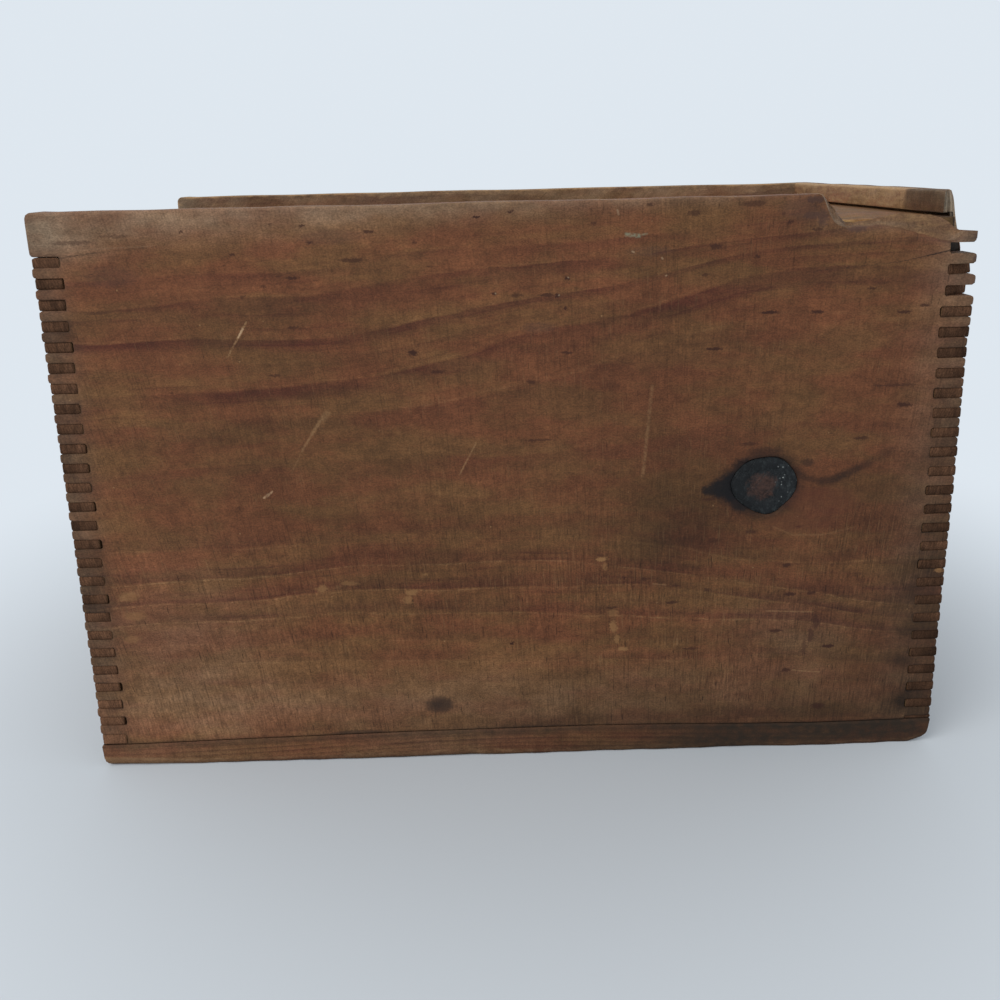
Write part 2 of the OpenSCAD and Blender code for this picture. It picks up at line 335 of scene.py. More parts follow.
def pineGroup():
    # early to late wood by ring number, times fine shading, then marks, end grain, rub, and grime with
    # painted shade
    tree, take, give = group(
        "pineGrain",
        [("Place", "Vector"), ("Ring", "Float"), ("EndGrain", "Float"), ("Inside", "Float"),
         ("Rub", "Float"), ("Grime", "Float"), ("Lift", "Float"), ("Weather", "Float"), ("Warm", "Float"),
         ("Plain", "Float"), ("Sawn", "Float"), ("Early", "Color"), ("Late", "Color"), ("Bare", "Color"),
         ("Dirt", "Color"), ("Cut", "Color"), ("Grey", "Color"), ("Dash", "Float"), ("Saw", "Float"),
         ("FanAlong", "Float"), ("FanAcross", "Float"), ("FanAmount", "Float")],
        [("Color", "Color"), ("Roughness", "Float"), ("Height", "Float")],
    )
    place = take["Place"]
    saw = calc(tree, "MULTIPLY", take["Saw"], take["Sawn"])

    def field(along, across, detail, rough, shift, where=place):
        # noise with its own length along the grain and across it, in millimetres
        return noise(tree, stretch(tree, where, 1 / along, 1 / across, 1 / across), detail, rough, shift)

    def times(first, *others):
        # product of all
        for one in others:
            first = calc(tree, "MULTIPLY", first, one)
        return first

    def plus(first, *others):
        # sum of all
        for one in others:
            first = calc(tree, "ADD", first, one)
        return first

    def around(value, amount):
        # value less a half, times amount
        return times(calc(tree, "SUBTRACT", value, 0.5), amount)

    # the rings wander: a long slow bend and a short ragged one
    bend, rag = field(70, 12, 3.0, 0.5, 0.0), field(13, 2.2, 3.0, 0.6, 1.7)
    ring = plus(take["Ring"], around(bend, 0.45), around(rag, 0.16))
    part = calc(tree, "FRACT", ring)
    whole = calc(tree, "FLOOR", ring)
    number = put(tree, "ShaderNodeTexWhiteNoise", {"W": whole}, noise_dimensions="1D").outputs[0]
    depth = put(tree, "ShaderNodeMapRange", [number, 0.0, 1.0, 0.55, 1.0]).outputs[0]
    depth = times(depth, ease(tree, field(45, 7, 2.0, 0.5, 13.0), 0.3, 0.66, 0.25, 1.0))
    late = times(ease(tree, part, 0.25, 0.88), ease(tree, part, 0.92, 1.0, 1.0, 0.0), depth)
    finePart = calc(tree, "FRACT", times(ring, 3.3))
    thin = times(ease(tree, finePart, 0.5, 0.93), ease(tree, finePart, 0.94, 1.0, 1.0, 0.0))
    thin = times(thin, ease(tree, field(30, 5, 2.0, 0.5, 19.0), 0.42, 0.66, 0.0, 0.4))
    ringed = calc(tree, "SUBTRACT", 1.0, take["Plain"])
    bands = times(calc(tree, "ADD", late, thin, True), ringed)
    ridge = times(ease(tree, part, 0.0, 0.08, 1.0, 0.0), depth)
    # saw marks stand across the grain and lean more the further out they are
    axis = put(tree, "ShaderNodeSeparateXYZ", [place]).outputs
    fanAlong = calc(tree, "SUBTRACT", axis[0], take["FanAlong"])
    fanAcross = calc(tree, "SUBTRACT", axis[1], take["FanAcross"])
    lean = calc(tree, "SUBTRACT", axis[0], times(fanAlong, fanAcross, take["FanAmount"]))
    fan = put(tree, "ShaderNodeCombineXYZ", [lean, axis[1], axis[2]]).outputs[0]
    sawPatch = times(ease(tree, field(38, 30, 2.0, 0.5, 29.0), 0.32, 0.62, 0.15, 1.0), saw)
    plush = times(calc(tree, "SUBTRACT", field(0.8, 5, 3.0, 0.6, 23.0, fan), 0.5), sawPatch)
    # fibres, specks, clouds and a change of hue
    fibre = field(8, 0.5, 3.0, 0.65, 3.0)
    speck = field(0.6, 0.4, 2.0, 0.6, 7.0)
    mottle = field(4.4, 3.2, 5.0, 0.78, 9.0)
    cloud = field(19, 10, 3.0, 0.58, 43.0)
    broad = field(60, 34, 2.0, 0.5, 11.0)
    hue = field(36, 11, 4.0, 0.6, 17.0)
    colour = mix(tree, bands, take["Early"], take["Late"])
    red = mix(tree, 1.0, colour, (1.04, 0.875, 0.875, 1.0), "MULTIPLY")
    olive = mix(tree, 1.0, colour, (0.99, 1.055, 0.945, 1.0), "MULTIPLY")
    colour = mix(tree, calc(tree, "ADD", ease(tree, hue, 0.36, 0.64), take["Warm"], True), olive, red)
    pale = times(ridge, ringed, ease(tree, mottle, 0.4, 0.6, 0.1, 0.5),
                 ease(tree, take["Sawn"], 0.9, 1.6, 0.3, 1.0))
    colour = mix(tree, pale, colour, take["Bare"])
    # weathered to grey before the fine shading, which stays
    grey = times(take["Weather"], ease(tree, cloud, 0.3, 0.7, 0.5, 1.1))
    colour = mix(tree, grey, colour, gain(tree, take["Grey"], ease(tree, bands, 0.0, 1.0, 1.04, 0.82)))
    shade = times(
        ease(tree, fibre, 0.25, 0.75, 0.94, 1.06), ease(tree, speck, 0.25, 0.75, 0.74, 1.27),
        ease(tree, mottle, 0.27, 0.73, 0.8, 1.2), ease(tree, cloud, 0.28, 0.72, 0.87, 1.12),
        ease(tree, broad, 0.3, 0.7, 0.92, 1.08), plus(take["Lift"], 1.0), plus(times(plush, 0.95), 1.0),
        ease(tree, field(2.6, 60, 2.0, 0.55, 79.0, fan), 0.3, 0.7, 0.95, 1.05),
    )
    hairPatch = ease(tree, field(30, 26, 2.0, 0.5, 59.0), 0.36, 0.6, 0.1, 1.0)
    hair = ease(tree, field(0.42, 18, 2.0, 0.55, 61.0, fan), 0.56, 0.68)
    hair = calc(tree, "MULTIPLY", hair, times(hairPatch, saw), True)
    slit = times(ease(tree, field(0.55, 6, 1.0, 0.5, 83.0, fan), 0.67, 0.745), saw)
    hair = calc(tree, "MAXIMUM", times(hair, 0.28), times(slit, 0.42))
    shade = times(shade, calc(tree, "SUBTRACT", 1.0, hair))
    colour = gain(tree, colour, shade)
    lit = ease(tree, field(0.42, 8, 2.0, 0.55, 67.0, fan), 0.57, 0.72)
    litPatch = ease(tree, field(24, 18, 2.0, 0.5, 71.0), 0.4, 0.6)
    lit = calc(tree, "MULTIPLY", lit, times(litPatch, saw), True)
    colour = mix(tree, times(lit, 0.2), colour, take["Bare"])
    # resin ducts: short ragged dark dashes, and pits
    where = plus(ease(tree, field(36, 22, 1.0, 0.5, 39.0), 0.4, 0.6, -0.06, 0.02), times(bands, 0.05))
    dash = ease(tree, plus(field(4.6, 0.9, 2.0, 0.55, 37.0), where), 0.71, 0.8)
    cells = voronoi(tree, stretch(tree, place, 1 / 8, 1 / 6, 1 / 6))
    few = put(tree, "ShaderNodeSeparateColor", [cells["Color"]]).outputs
    size = plus(times(ease(tree, few[0], 0.7, 1.0), 0.09), around(mottle, 0.14))
    pit = ease(tree, calc(tree, "SUBTRACT", cells["Distance"], size), -0.04, 0.04, 1.0, 0.0)
    pit = times(pit, ease(tree, few[0], 0.7, 0.74), ease(tree, few[1], 0.0, 1.0, 0.35, 0.9))
    dash = calc(tree, "MULTIPLY", calc(tree, "MAXIMUM", dash, pit), take["Dash"], True)
    colour = mix(tree, times(dash, 0.62), colour, gain(tree, take["Late"], 0.45))
    # dust: tiny pale grains
    dust = voronoi(tree, stretch(tree, place, 1 / 6, 1 / 6, 1 / 6))
    chance = put(tree, "ShaderNodeSeparateColor", [dust["Color"]]).outputs
    grain = ease(tree, dust["Distance"], 0.03, 0.065, 1.0, 0.0)
    grain = times(grain, ease(tree, chance[1], 0.62, 0.8))
    colour = mix(tree, times(grain, 0.5), colour, take["Bare"])
    # end grain: dark, with ring lines, saw streaks and pores
    pores = field(0.5, 0.5, 2.0, 0.6, 31.0)
    lines = calc(tree, "PINGPONG", times(ring, 5.0), 0.5)
    streaks = noise(tree, stretch(tree, place, 1 / 9, 1 / 5, 1 / 0.7), 3.0, 0.6, 47.0)
    cutShade = times(
        ease(tree, pores, 0.3, 0.7, 0.78, 1.2), ease(tree, lines, 0.0, 0.5, 0.86, 1.12),
        ease(tree, mottle, 0.25, 0.75, 0.74, 1.26), ease(tree, streaks, 0.3, 0.7, 0.74, 1.24),
        plus(take["Lift"], 1.0),
    )
    colour = mix(tree, take["EndGrain"], colour, gain(tree, take["Cut"], cutShade))
    # rubbed pale in patches, then grime and painted shade, both mixed towards one dark tone
    patch = field(6, 2, 4.0, 0.62, 41.0)
    rub = ease(tree, plus(take["Rub"], around(patch, 1.2)), 0.3, 0.85)
    rubbed = gain(tree, take["Bare"], ease(tree, speck, 0.3, 0.7, 0.85, 1.12))
    colour = mix(tree, times(rub, 0.85), colour, rubbed)
    soil = field(4, 3, 4.0, 0.65, 53.0)
    grime = calc(tree, "MULTIPLY", take["Grime"], ease(tree, soil, 0.28, 0.72, 0.68, 1.1), True)
    colour = mix(tree, grime, colour, take["Dirt"])
    dry = mix(tree, 1.0, colour, (1.35, 1.38, 1.42, 1.0), "MULTIPLY")
    colour = mix(tree, times(take["Inside"], 0.8), colour, dry)
    tree.links.new(colour, give["Color"])
    rough = plus(times(fibre, 0.16), times(bands, -0.08), times(mottle, 0.16), 0.5)
    dull = calc(tree, "MAXIMUM", grime, take["EndGrain"])
    tree.links.new(calc(tree, "ADD", rough, times(dull, 0.25), True), give["Roughness"])
    tall = plus(times(fibre, 0.4), times(speck, 0.35), times(plush, 0.9), times(mottle, 0.3))
    tall = plus(tall, times(pores, take["EndGrain"], 0.9))
    tree.links.new(tall, give["Height"])
    return tree


def strokeGroup():
    # an ellipse about Centre; State is x, z and the mask so far, so that the marks run one after another
    tree, take, give = group(
        "strokeMark",
        [("State", "Vector"), ("Centre", "Vector"), ("Scale", "Vector"), ("Strength", "Float")],
        [("State", "Vector")],
    )
    x, z, mask = put(tree, "ShaderNodeSeparateXYZ", [take["State"]]).outputs
    away = vectors(tree, "SUBTRACT", take["State"], take["Centre"])
    far = vectors(tree, "LENGTH", vectors(tree, "MULTIPLY", away, take["Scale"]))
    near = calc(tree, "MULTIPLY", ease(tree, far, 0.5, 1.08, 1.0, 0.0), take["Strength"])
    state = put(tree, "ShaderNodeCombineXYZ", [x, z, calc(tree, "MAXIMUM", mask, near)]).outputs[0]
    tree.links.new(state, give["State"])
    return tree


def lineGroup():
    # a line from Start to End, broken up along its length where Gaps is 1
    tree, take, give = group(
        "lineMark",
        [("State", "Vector"), ("Start", "Vector"), ("End", "Vector"), ("Width", "Float"),
         ("Gaps", "Float"), ("Strength", "Float"), ("Broken", "Float")],
        [("State", "Vector")],
    )
    x, z, mask = put(tree, "ShaderNodeSeparateXYZ", [take["State"]]).outputs
    flat = stretch(tree, take["State"], 1, 1, 0)
    away = vectors(tree, "SUBTRACT", flat, take["Start"])
    run = vectors(tree, "SUBTRACT", take["End"], take["Start"])
    dot, size = vectors(tree, "DOT_PRODUCT", away, run), vectors(tree, "DOT_PRODUCT", run, run)
    part = calc(tree, "DIVIDE", dot, size, True)
    far = vectors(tree, "DISTANCE", away, gain(tree, run, part))
    low = calc(tree, "MULTIPLY", take["Width"], 0.2)
    near = ease(tree, far, low, take["Width"], take["Strength"], 0.0)
    lost = calc(tree, "MULTIPLY", take["Gaps"], take["Broken"])
    near = calc(tree, "MULTIPLY", near, calc(tree, "SUBTRACT", 1.0, lost))
    state = put(tree, "ShaderNodeCombineXYZ", [x, z, calc(tree, "MAXIMUM", mask, near)]).outputs[0]
    tree.links.new(state, give["State"])
    return tree


pineTree = pineGroup()
strokeTree = strokeGroup()
lineTree = lineGroup()


def newMaterial(name):
    # an empty material with its node tree and its shader
    material = bpy.data.materials.new(name)
    material.use_nodes = True
    return material, material.node_tree, material.node_tree.nodes["Principled BSDF"]


def attribute(tree, name, vector=False):
    # a value or a vector stored on the mesh
    return put(tree, "ShaderNodeAttribute", attribute_name=name).outputs["Vector" if vector else "Fac"]


def pineMaterial(name, tones, scratchesAndHighlights=(), strokes=()):
    # the pine group with a board's traits and tones, then its marks one over another
    material, tree, shader = newMaterial(name)
    place = attribute(tree, "grainPlace", True)
    pine = put(tree, "ShaderNodeGroup", node_tree=pineTree)
    for key in ("Ring", "EndGrain", "Inside", "Rub", "Grime", "Lift", "Weather", "Warm", "Plain", "Sawn"):
        tree.links.new(attribute(tree, key[0].lower() + key[1:]), pine.inputs[key])
    tree.links.new(place, pine.inputs["Place"])
    for key in ("Early", "Late", "Bare", "Dirt", "Cut", "Grey"):
        pine.inputs[key].default_value = linear(*tones[key.lower()])
    pine.inputs["Dash"].default_value = tones["dash"]
    pine.inputs["Saw"].default_value = tones["saw"]
    for key, value in zip(("FanAlong", "FanAcross", "FanAmount"), tones["fan"]):
        pine.inputs[key].default_value = value
    colour, height = pine.outputs["Color"], pine.outputs["Height"]
    if strokes or scratchesAndHighlights:
        # ragged rims, and gaps along the scratches
        values = {"Vector": place, "Scale": 0.9, "Detail": 4.0, "Roughness": 0.72}
        cloud = put(tree, "ShaderNodeTexNoise", values)
        loose = vectors(tree, "SUBTRACT", cloud.outputs["Color"], (0.5, 0.5, 0.5))
        broken = ease(tree, noise(tree, stretch(tree, place, 1.2, 1.2, 1.2), 2.0, 0.6, 5.0), 0.4, 0.6)
    kinds = ((strokes, strokeTree, (5.2, 2.2, 0)), (scratchesAndHighlights, lineTree, (0.9, 0.9, 0)))
    for marks, markTree, shake in kinds:
        for tone, rows in marks:
            ragged = vectors(tree, "ADD", stretch(tree, loose, *shake), place)
            state = stretch(tree, ragged, 1, 1, 0)
            for row in rows:
                mark = put(tree, "ShaderNodeGroup", node_tree=markTree)
                tree.links.new(state, mark.inputs["State"])
                if markTree == strokeTree:
                    mark.inputs["Centre"].default_value = (*row[:2], 0)
                    mark.inputs["Scale"].default_value = (1 / row[2], 1 / row[3], 0)
                    mark.inputs["Strength"].default_value = row[4]
                else:
                    mark.inputs["Start"].default_value = (*row[0], 0)
                    mark.inputs["End"].default_value = (*row[1], 0)
                    for key, value in zip(("Width", "Strength", "Gaps"), row[2:]):
                        mark.inputs[key].default_value = value
                    tree.links.new(broken, mark.inputs["Broken"])
                state = mark.outputs[0]
            mask = put(tree, "ShaderNodeSeparateXYZ", [state]).outputs[2]
            colour = mix(tree, mask, colour, linear(*tone))
    bump = put(tree, "ShaderNodeBump", {"Strength": tones["bump"], "Distance": 0.0004, "Height": height})
    tree.links.new(colour, shader.inputs["Base Color"])
    tree.links.new(pine.outputs["Roughness"], shader.inputs["Roughness"])
    tree.links.new(bump.outputs[0], shader.inputs["Normal"])
    shader.inputs["Specular IOR Level"].default_value = tones["shine"]
    return material


def traitsFrom(ring, inside, rub, grime, endGrain, lift, weather, warm=0, plain=0, sawn=1):
    # what the material reads at each point, kept in range
    return {
        "ring": ring, "inside": inside, "rub": np.clip(rub, 0, 1), "grime": np.clip(grime, 0, 1),
        "endGrain": np.clip(endGrain, 0, 1), "lift": np.clip(lift, -0.8, 1),
        "weather": np.clip(weather + 0 * ring, 0, 1), "warm": np.clip(warm + 0 * ring, -1, 1),
        "plain": np.clip(plain + 0 * ring, 0, 1), "sawn": sawn + 0 * ring,
    }


# front board: x along, z across, depth from the front face
front = {
    "early": (101, 67, 43), "late": (72, 39, 28), "bare": (150, 116, 80), "dirt": (38, 29, 23),
    "cut": (92, 68, 50), "grey": (118, 98, 79), "dash": 0.8, "saw": 0.8, "bump": 0.35, "shine": 0.2,
    "fan": (50.0, 100.0, 0.0011),
    # the dark lines of the wood: how strong, then the height at each station along x
    "stations": (-150.0, 40.0), "heart": 11,
    "lines": [
        (0.1, [-6, -6, -6, -6, -6, -6, -6, -6, -6]), (0.1, [4, 4, 4, 4, 4, 4, 4, 4, 4]),
        (0.25, [12, 12, 12, 12, 12, 12, 12, 12, 12]), (0.2, [22, 21.5, 21, 20.5, 20, 20, 20, 20, 20]),
        (0.2, [31, 31, 31, 30.5, 30, 28.5, 27.5, 26, 25]),
        (0.4, [39, 40.5, 41, 40, 38, 37.5, 36, 33.5, 32]),
        (0.25, [47, 48, 48.5, 47.5, 46, 44.5, 42.5, 39, 37]),
        (0.8, [55.5, 58, 59, 58, 56.5, 53, 50.5, 46, 43]),
        (0.7, [63.5, 64.5, 66.5, 67.5, 67, 65, 58.5, 51.5, 48]),
        (1.0, [71, 73, 75.5, 76.5, 76, 71, 64, 57, 53]),
        (0.35, [83.5, 84.5, 85.5, 86.5, 85, 81.5, 76, 75, 74]),
        (0.2, [99, 99.5, 100, 99.5, 98, 96.5, 94, 96, 98]),
        (0.4, [113, 113.5, 115, 115.5, 116.5, 120.5, 126.5, 122, 120]),
        (0.45, [127, 128.5, 130, 132.5, 139.5, 150.5, 159.5, 158, 155]),
        (1.0, [139, 139.5, 140.5, 147, 157, 165.5, 175, 175, 172]),
        (0.2, [149, 149, 149, 154, 162.5, 169.5, 178.5, 179.5, 178]),
        (0.95, [157, 157, 156, 161, 168, 174, 182, 184, 183]),
        (0.75, [168, 168.5, 170.5, 174.5, 178.5, 181.5, 186, 190, 191]),
        (0.5, [176.5, 176.5, 178.5, 182.5, 185, 187, 191, 196, 199]),
        (0.4, [186, 186, 188, 192, 195, 198, 201, 204, 206]),
        (0.3, [199, 200, 202, 205, 208, 210, 212, 214, 216]),
    ],
    "knotX": 87.0, "knotZ": 101.6, "holeHalf": 10.5, "barkR": 10.4,
    # the break: where its shape and its bare wood start, where the groove lies open, where it splinters
    "shapedX": 96, "breakX": 99.5, "openX": 104.4, "splinters": (101, 147),
    # x and height of the wood below the break that keeps its place, and grid lines for the break
    "firmX": (138, innerW), "firmZ": (172, 181.9), "fineTo": 141.5,
    "scoopLines": [98.2, 99.5, 100.6, 101.8],
    # the broken top edge, x and z, on the front face and on the inner face
    "outerTop": [(96, 197.5), (99.2, 197.4), (100.3, 196.2), (101.2, 194.2), (102.4, 191.4),
                 (104.2, 188.6), (106, 187.4), (109.2, 186.8), (113.2, 187.5), (118.1, 187.5),
                 (124.9, 186.7), (131.9, 184.8), (138.8, 182.7), (141, 181.9), (145.2, 181.9),
                 (145.6, 184.7), (148, 185.1), (152.5, 184.8)],
    "innerTop": [(96, 197.5), (102.4, 197.4), (103.4, 196.2), (104.6, 194), (105.8, 191.8),
                 (107.4, 189.6), (109.1, 188.5), (112, 188.3), (115.4, 188.6), (119.7, 189.7),
                 (124, 190.4), (128.7, 190.7), (135.6, 190.1), (140.3, 188.9), (143.2, 187.2),
                 (144.6, 185.9), (146.5, 184.9), (152.5, 184.8)],
    # x, z, half length, half height, strength
    "stains": [(56, 84, 17, 12, 0.3), (47, 74, 8, 16, 0.14), (116, 92, 18, 9, 0.12),
               (4, 11, 14, 2.2, 0.5), (97, 192, 4, 4, 0.25), (-147.5, 17.5, 3, 3, 0.3),
               (146, 24, 14, 40, 0.42), (150, 90, 8, 50, 0.25), (60, 15, 70, 5, 0.25),
               (120, 14, 34, 5, 0.3), (140, 34, 5, 2, 0.5), (141, 18, 4, 3, 0.6), (141, 62, 3, 4, 0.4),
               (139, 45, 4, 2.4, 0.35), (140, 96, 5, 3, 0.35), (140.5, 110, 3, 4, 0.3)],
    "scuffs": [(-135.5, 67, 5.5, 2.8, 0.5), (-134.5, 60, 5.5, 2.4, 0.5), (-62, 68.5, 9, 1.8, 0.3),
               (-36, 65, 5, 4, 0.3), (34.5, 53, 2.6, 7, 0.3), (75, 59, 14, 3, 0.25),
               (108, 58, 20, 2, 0.3), (-120, 14, 25, 3, 0.3)],
    # greyed by handling and light
    "weather": [(-150, 190, 24, 7, 0.75), (-110, 194, 60, 6, 0.5), (-40, 196, 70, 4, 0.45),
                (30, 197, 60, 2.5, 0.4), (-150, 150, 7, 45, 0.4), (-150, 70, 7, 60, 0.45),
                (151, 170, 5, 30, 0.35), (-118, 40, 30, 30, 0.25), (100, 46, 24, 14, 0.2),
                (151, 120, 6, 30, 0.3), (0, 22, 150, 12, 0.26), (142, 100, 10, 100, 0.3),
                (150, 178, 9, 14, 0.5), (118, 190, 22, 5, 0.3)],
    # redder where above 0, and where the lines of the wood fade
    "warm": [(-100, 172, 60, 30, 0.18), (30, 150, 50, 26, 0.22), (50, 124, 45, 18, 0.22),
             (0, 24, 150, 14, -0.3), (-40, 36, 60, 8, -0.3), (10, 94, 60, 8, -0.25),
             (100, 92, 30, 14, 0.3), (138, 150, 14, 42, 0.4), (-60, 100, 60, 10, 0.12),
             (-60, 78, 50, 6, 0.15)],
    # lighter or darker places
    "lifts": [(-5, 180, 40, 12, 0.12), (-122, 146, 22, 18, 0.1), (-125, 111, 22, 16, 0.08),
              (-5, 153, 40, 12, 0.06), (46, 110, 24, 10, 0.06), (-150, 100, 6, 100, -0.26),
              (-126, 16, 26, 6, 0.14), (150, 90, 5, 80, -0.12), (-5, 45, 60, 16, 0.05),
              (-120, 190, 60, 12, 0.14), (-60, 188, 60, 10, 0.1), (10, 186, 50, 10, 0.06),
              (121, 150, 24, 18, 0.08), (-128, 80, 26, 20, 0.2), (-128, 40, 36, 26, 0.22),
              (-70, 40, 50, 20, 0.1), (0, 40, 45, 14, 0.12), (-110, 20, 50, 12, 0.22),
              (140, 24, 30, 26, -0.26), (95, 18, 30, 10, -0.15), (-30, 84, 60, 10, -0.08),
              (60, 80, 26, 18, -0.2), (135, 80, 26, 40, -0.1), (30, 160, 40, 14, 0.05),
              (-60, 192, 100, 6, 0.07), (50, 192, 50, 6, 0.1), (-80, 178, 50, 10, 0.07),
              (80, 178, 30, 8, -0.06), (20, 154, 22, 10, -0.1), (30, 136, 30, 12, -0.08),
              (68, 100, 38, 15, -0.2), (118, 100, 18, 14, -0.1), (-138, 88, 10, 12, 0.12),
              (30, 70, 20, 8, -0.1), (142, 70, 10, 10, -0.1), (-45, 56, 45, 8, 0.05),
              (-50, 34, 50, 8, 0.05), (25, 34, 18, 8, 0.08), (130, 30, 20, 10, 0.08),
              (-100, 22, 30, 6, 0.04), (-118, 14, 24, 4, 0.14), (-60, 14, 16, 4, -0.08),
              (15, 14, 30, 4, -0.2), (72, 14, 32, 4, -0.26), (-148, 48, 7, 34, -0.18),
              (-110, 195.5, 46, 3.5, 0.3), (62, 100, 26, 12, -0.16), (128, 98, 16, 12, -0.12),
              (142, 72, 8, 12, -0.12), (-146, 50, 6, 34, -0.12), (0, 196, 70, 3, 0.08),
              (-148, 165, 7, 10, -0.08), (40, 28, 60, 8, -0.1), (-10, 22, 60, 6, -0.06),
              (-144, 150, 5, 22, -0.1), (-144, 85, 5, 16, -0.08), (-145, 60, 6, 6, -0.2),
              (-144, 20, 5, 7, -0.22), (151.5, 183, 2.6, 2.4, -0.3), (151.5, 176.3, 2.4, 2.4, -0.35),
              (150, 163, 3, 3, -0.15)],
}

# dark strokes in the wood: x, z, half length, half height, strength
frontStrokes = [
    ((54, 29, 21), [
        (66.5, 182, 2.4, 1, 0.75), (59, 192.5, 2.6, 1.2, 0.62), (78, 195, 5, 1.2, 0.56),
        (45, 195.5, 1.5, 0.8, 0.69), (80, 178.5, 1, 0.7, 0.75), (90, 189, 1, 0.8, 0.75),
        (98.9, 186.5, 2, 0.6, 0.7), (85, 160.5, 3.4, 0.7, 0.94), (100.5, 160.3, 3.2, 0.7, 0.88),
        (118, 167.5, 1.6, 0.6, 0.75), (129, 159.6, 3, 0.7, 0.81), (136, 161.7, 2, 0.7, 0.81),
        (67, 149, 3.6, 0.7, 0.88), (63.5, 173, 1, 0.8, 0.62), (132, 128.5, 3.4, 1, 0.88),
        (128, 135.4, 9, 0.5, 0.56), (-10, 193, 1.4, 0.6, 0.95), (0.5, 194.3, 1.2, 0.6, 0.88),
        (-5, 168.7, 0.9, 0.7, 0.88), (18.6, 173.2, 0.9, 0.9, 0.95), (15.6, 167.6, 0.9, 0.8, 0.94),
        (18, 163.3, 0.8, 0.8, 0.88), (2.3, 168, 2.6, 0.7, 0.62), (12, 168, 2.6, 0.6, 0.75),
        (-32, 150.3, 2, 1, 0.94), (-24, 143.8, 3.2, 0.6, 0.69), (18.8, 149, 2.4, 0.6, 0.75),
        (6.5, 139.6, 1.8, 1, 0.62), (27, 190, 1, 0.7, 0.62), (-30, 185.7, 1.2, 0.8, 0.62),
        (95.6, 72, 2, 1, 0.81), (97.3, 61, 2.4, 1, 0.88), (104.7, 61.3, 2, 0.9, 0.81),
        (67.7, 63.6, 1.6, 0.8, 0.62), (93, 47, 3, 0.8, 0.81), (112, 40.5, 3, 0.9, 0.94),
        (97.6, 31.4, 2.2, 1, 0.81), (62.4, 41, 4.2, 0.45, 0.7), (55.4, 59.2, 2.4, 0.8, 0.75),
        (56.5, 65.4, 1.6, 0.4, 0.6), (38.2, 69, 0.7, 0.6, 0.85), (45.4, 68.3, 1, 0.9, 0.65),
        (34, 57.8, 3.4, 0.4, 0.7), (29.6, 77.7, 1.6, 0.5, 0.5), (30.2, 56.5, 0.4, 3, 0.45),
        (110, 16.5, 3, 1.6, 0.75), (-103.5, 190.5, 1.1, 0.8, 0.75), (-69.7, 175.4, 2.4, 0.7, 0.81),
        (-70.3, 159.4, 2.6, 0.6, 0.62), (-78, 144, 2.4, 0.6, 0.62), (-86, 169.8, 0.9, 0.7, 0.62),
        (118, 117.4, 3.4, 0.8, 0.75), (80.4, 116.4, 4, 0.7, 0.62), (67, 97, 3, 0.6, 0.62),
        (82, 84.8, 2.4, 0.8, 0.62), (99.3, 86.1, 1.2, 0.6, 0.75), (68.8, 82, 2.2, 1.2, 0.56),
        (9.3, 119.7, 6, 0.5, 0.62), (-1.6, 45.3, 0.9, 0.9, 0.95), (-138.5, 188, 8, 0.8, 0.5),
        (-125, 189.6, 6, 0.6, 0.4), (-88.1, 183.1, 1, 0.5, 0.8), (-65.4, 191.6, 1.2, 0.6, 0.8),
        (-44.5, 189.2, 2.4, 0.6, 0.75), (-50.2, 180.5, 4.5, 0.9, 0.7), (-63.3, 186.3, 1.4, 0.5, 0.75),
        (-79, 172.7, 1, 0.6, 0.6), (-75.5, 192.1, 1, 0.5, 0.6), (-133, 165.7, 5, 0.6, 0.5),
    ]),
    # chips in the skin of the wood
    ((142, 104, 67), [
        (30.5, 76.3, 2.6, 0.9, 0.85), (31.5, 73.3, 1, 1.8, 0.4), (34.5, 55.8, 2.4, 1.6, 0.4),
        (34.7, 50.4, 1.7, 2.8, 0.65), (35.8, 45.7, 1.2, 2.2, 0.6), (38, 41.7, 2.6, 1, 0.7),
        (-67.8, 68.1, 2.4, 1.8, 0.6), (-58.2, 69.9, 4, 1, 0.4), (-36.6, 65.8, 2.6, 1.4, 0.65),
        (-37.8, 63, 1.8, 2, 0.55), (-135.5, 67.2, 4.2, 2.2, 0.4), (-134, 59.8, 5, 2, 0.4),
        (-136, 51, 3.6, 1.6, 0.3), (149.7, 68.6, 1.6, 1.4, 0.7), (-31.5, 72.3, 1, 0.5, 0.5),
    ]),
    # purple stains, the strongest beside the scoop
    ((64, 46, 44), [(93, 193, 8, 4, 0.28), (97.5, 195.8, 3.6, 1.3, 0.6), (97, 191, 4.4, 1.5, 0.6),
                    (100.5, 190, 2, 3.6, 0.5), (112, 186.4, 4, 1.2, 0.5), (9, 157.5, 7, 2.2, 0.3),
                    (45, 181, 9, 2, 0.25), (150.9, 183.2, 1.7, 1.5, 0.5), (151.2, 176.4, 1.5, 1.6, 0.6),
                    (-57, 188, 12, 3, 0.2), (-128, 177, 12, 4, 0.22)]),
    # a small dark knot and other stains
    ((52, 38, 31), [(-28.3, 21.5, 6, 4, 0.8), (-29, 21.6, 3, 2, 0.9), (10, 10.5, 16, 1.2, 0.6),
                    (-58, 11.2, 12, 1.4, 0.6)]),
    ((92, 50, 36), [(106, 95, 16, 7, 0.45), (100, 88, 16, 5, 0.4)]),
    ((58, 33, 26), [(107.3, 50, 1.4, 3.4, 0.6), (105.6, 45, 1.4, 4, 0.6), (103.6, 40, 1.3, 3.4, 0.5)]),
    # the black tail of the knot
    ((11, 14, 18), [(79.5, 101.6, 8, 10.5, 0.96), (76, 101.2, 8.2, 8.2, 0.95),
                    (71.8, 100.8, 6, 4.8, 0.92), (68, 100.5, 4.4, 2.3, 0.85),
                    (86.5, 102, 14.2, 13.4, 0.8), (100.5, 109.3, 2.8, 1.8, 0.5), (86, 113.5, 8, 2, 0.4),
                    (78.5, 95.8, 5.5, 4.6, 0.85), (79.5, 108.4, 6, 4, 0.8)]),
]
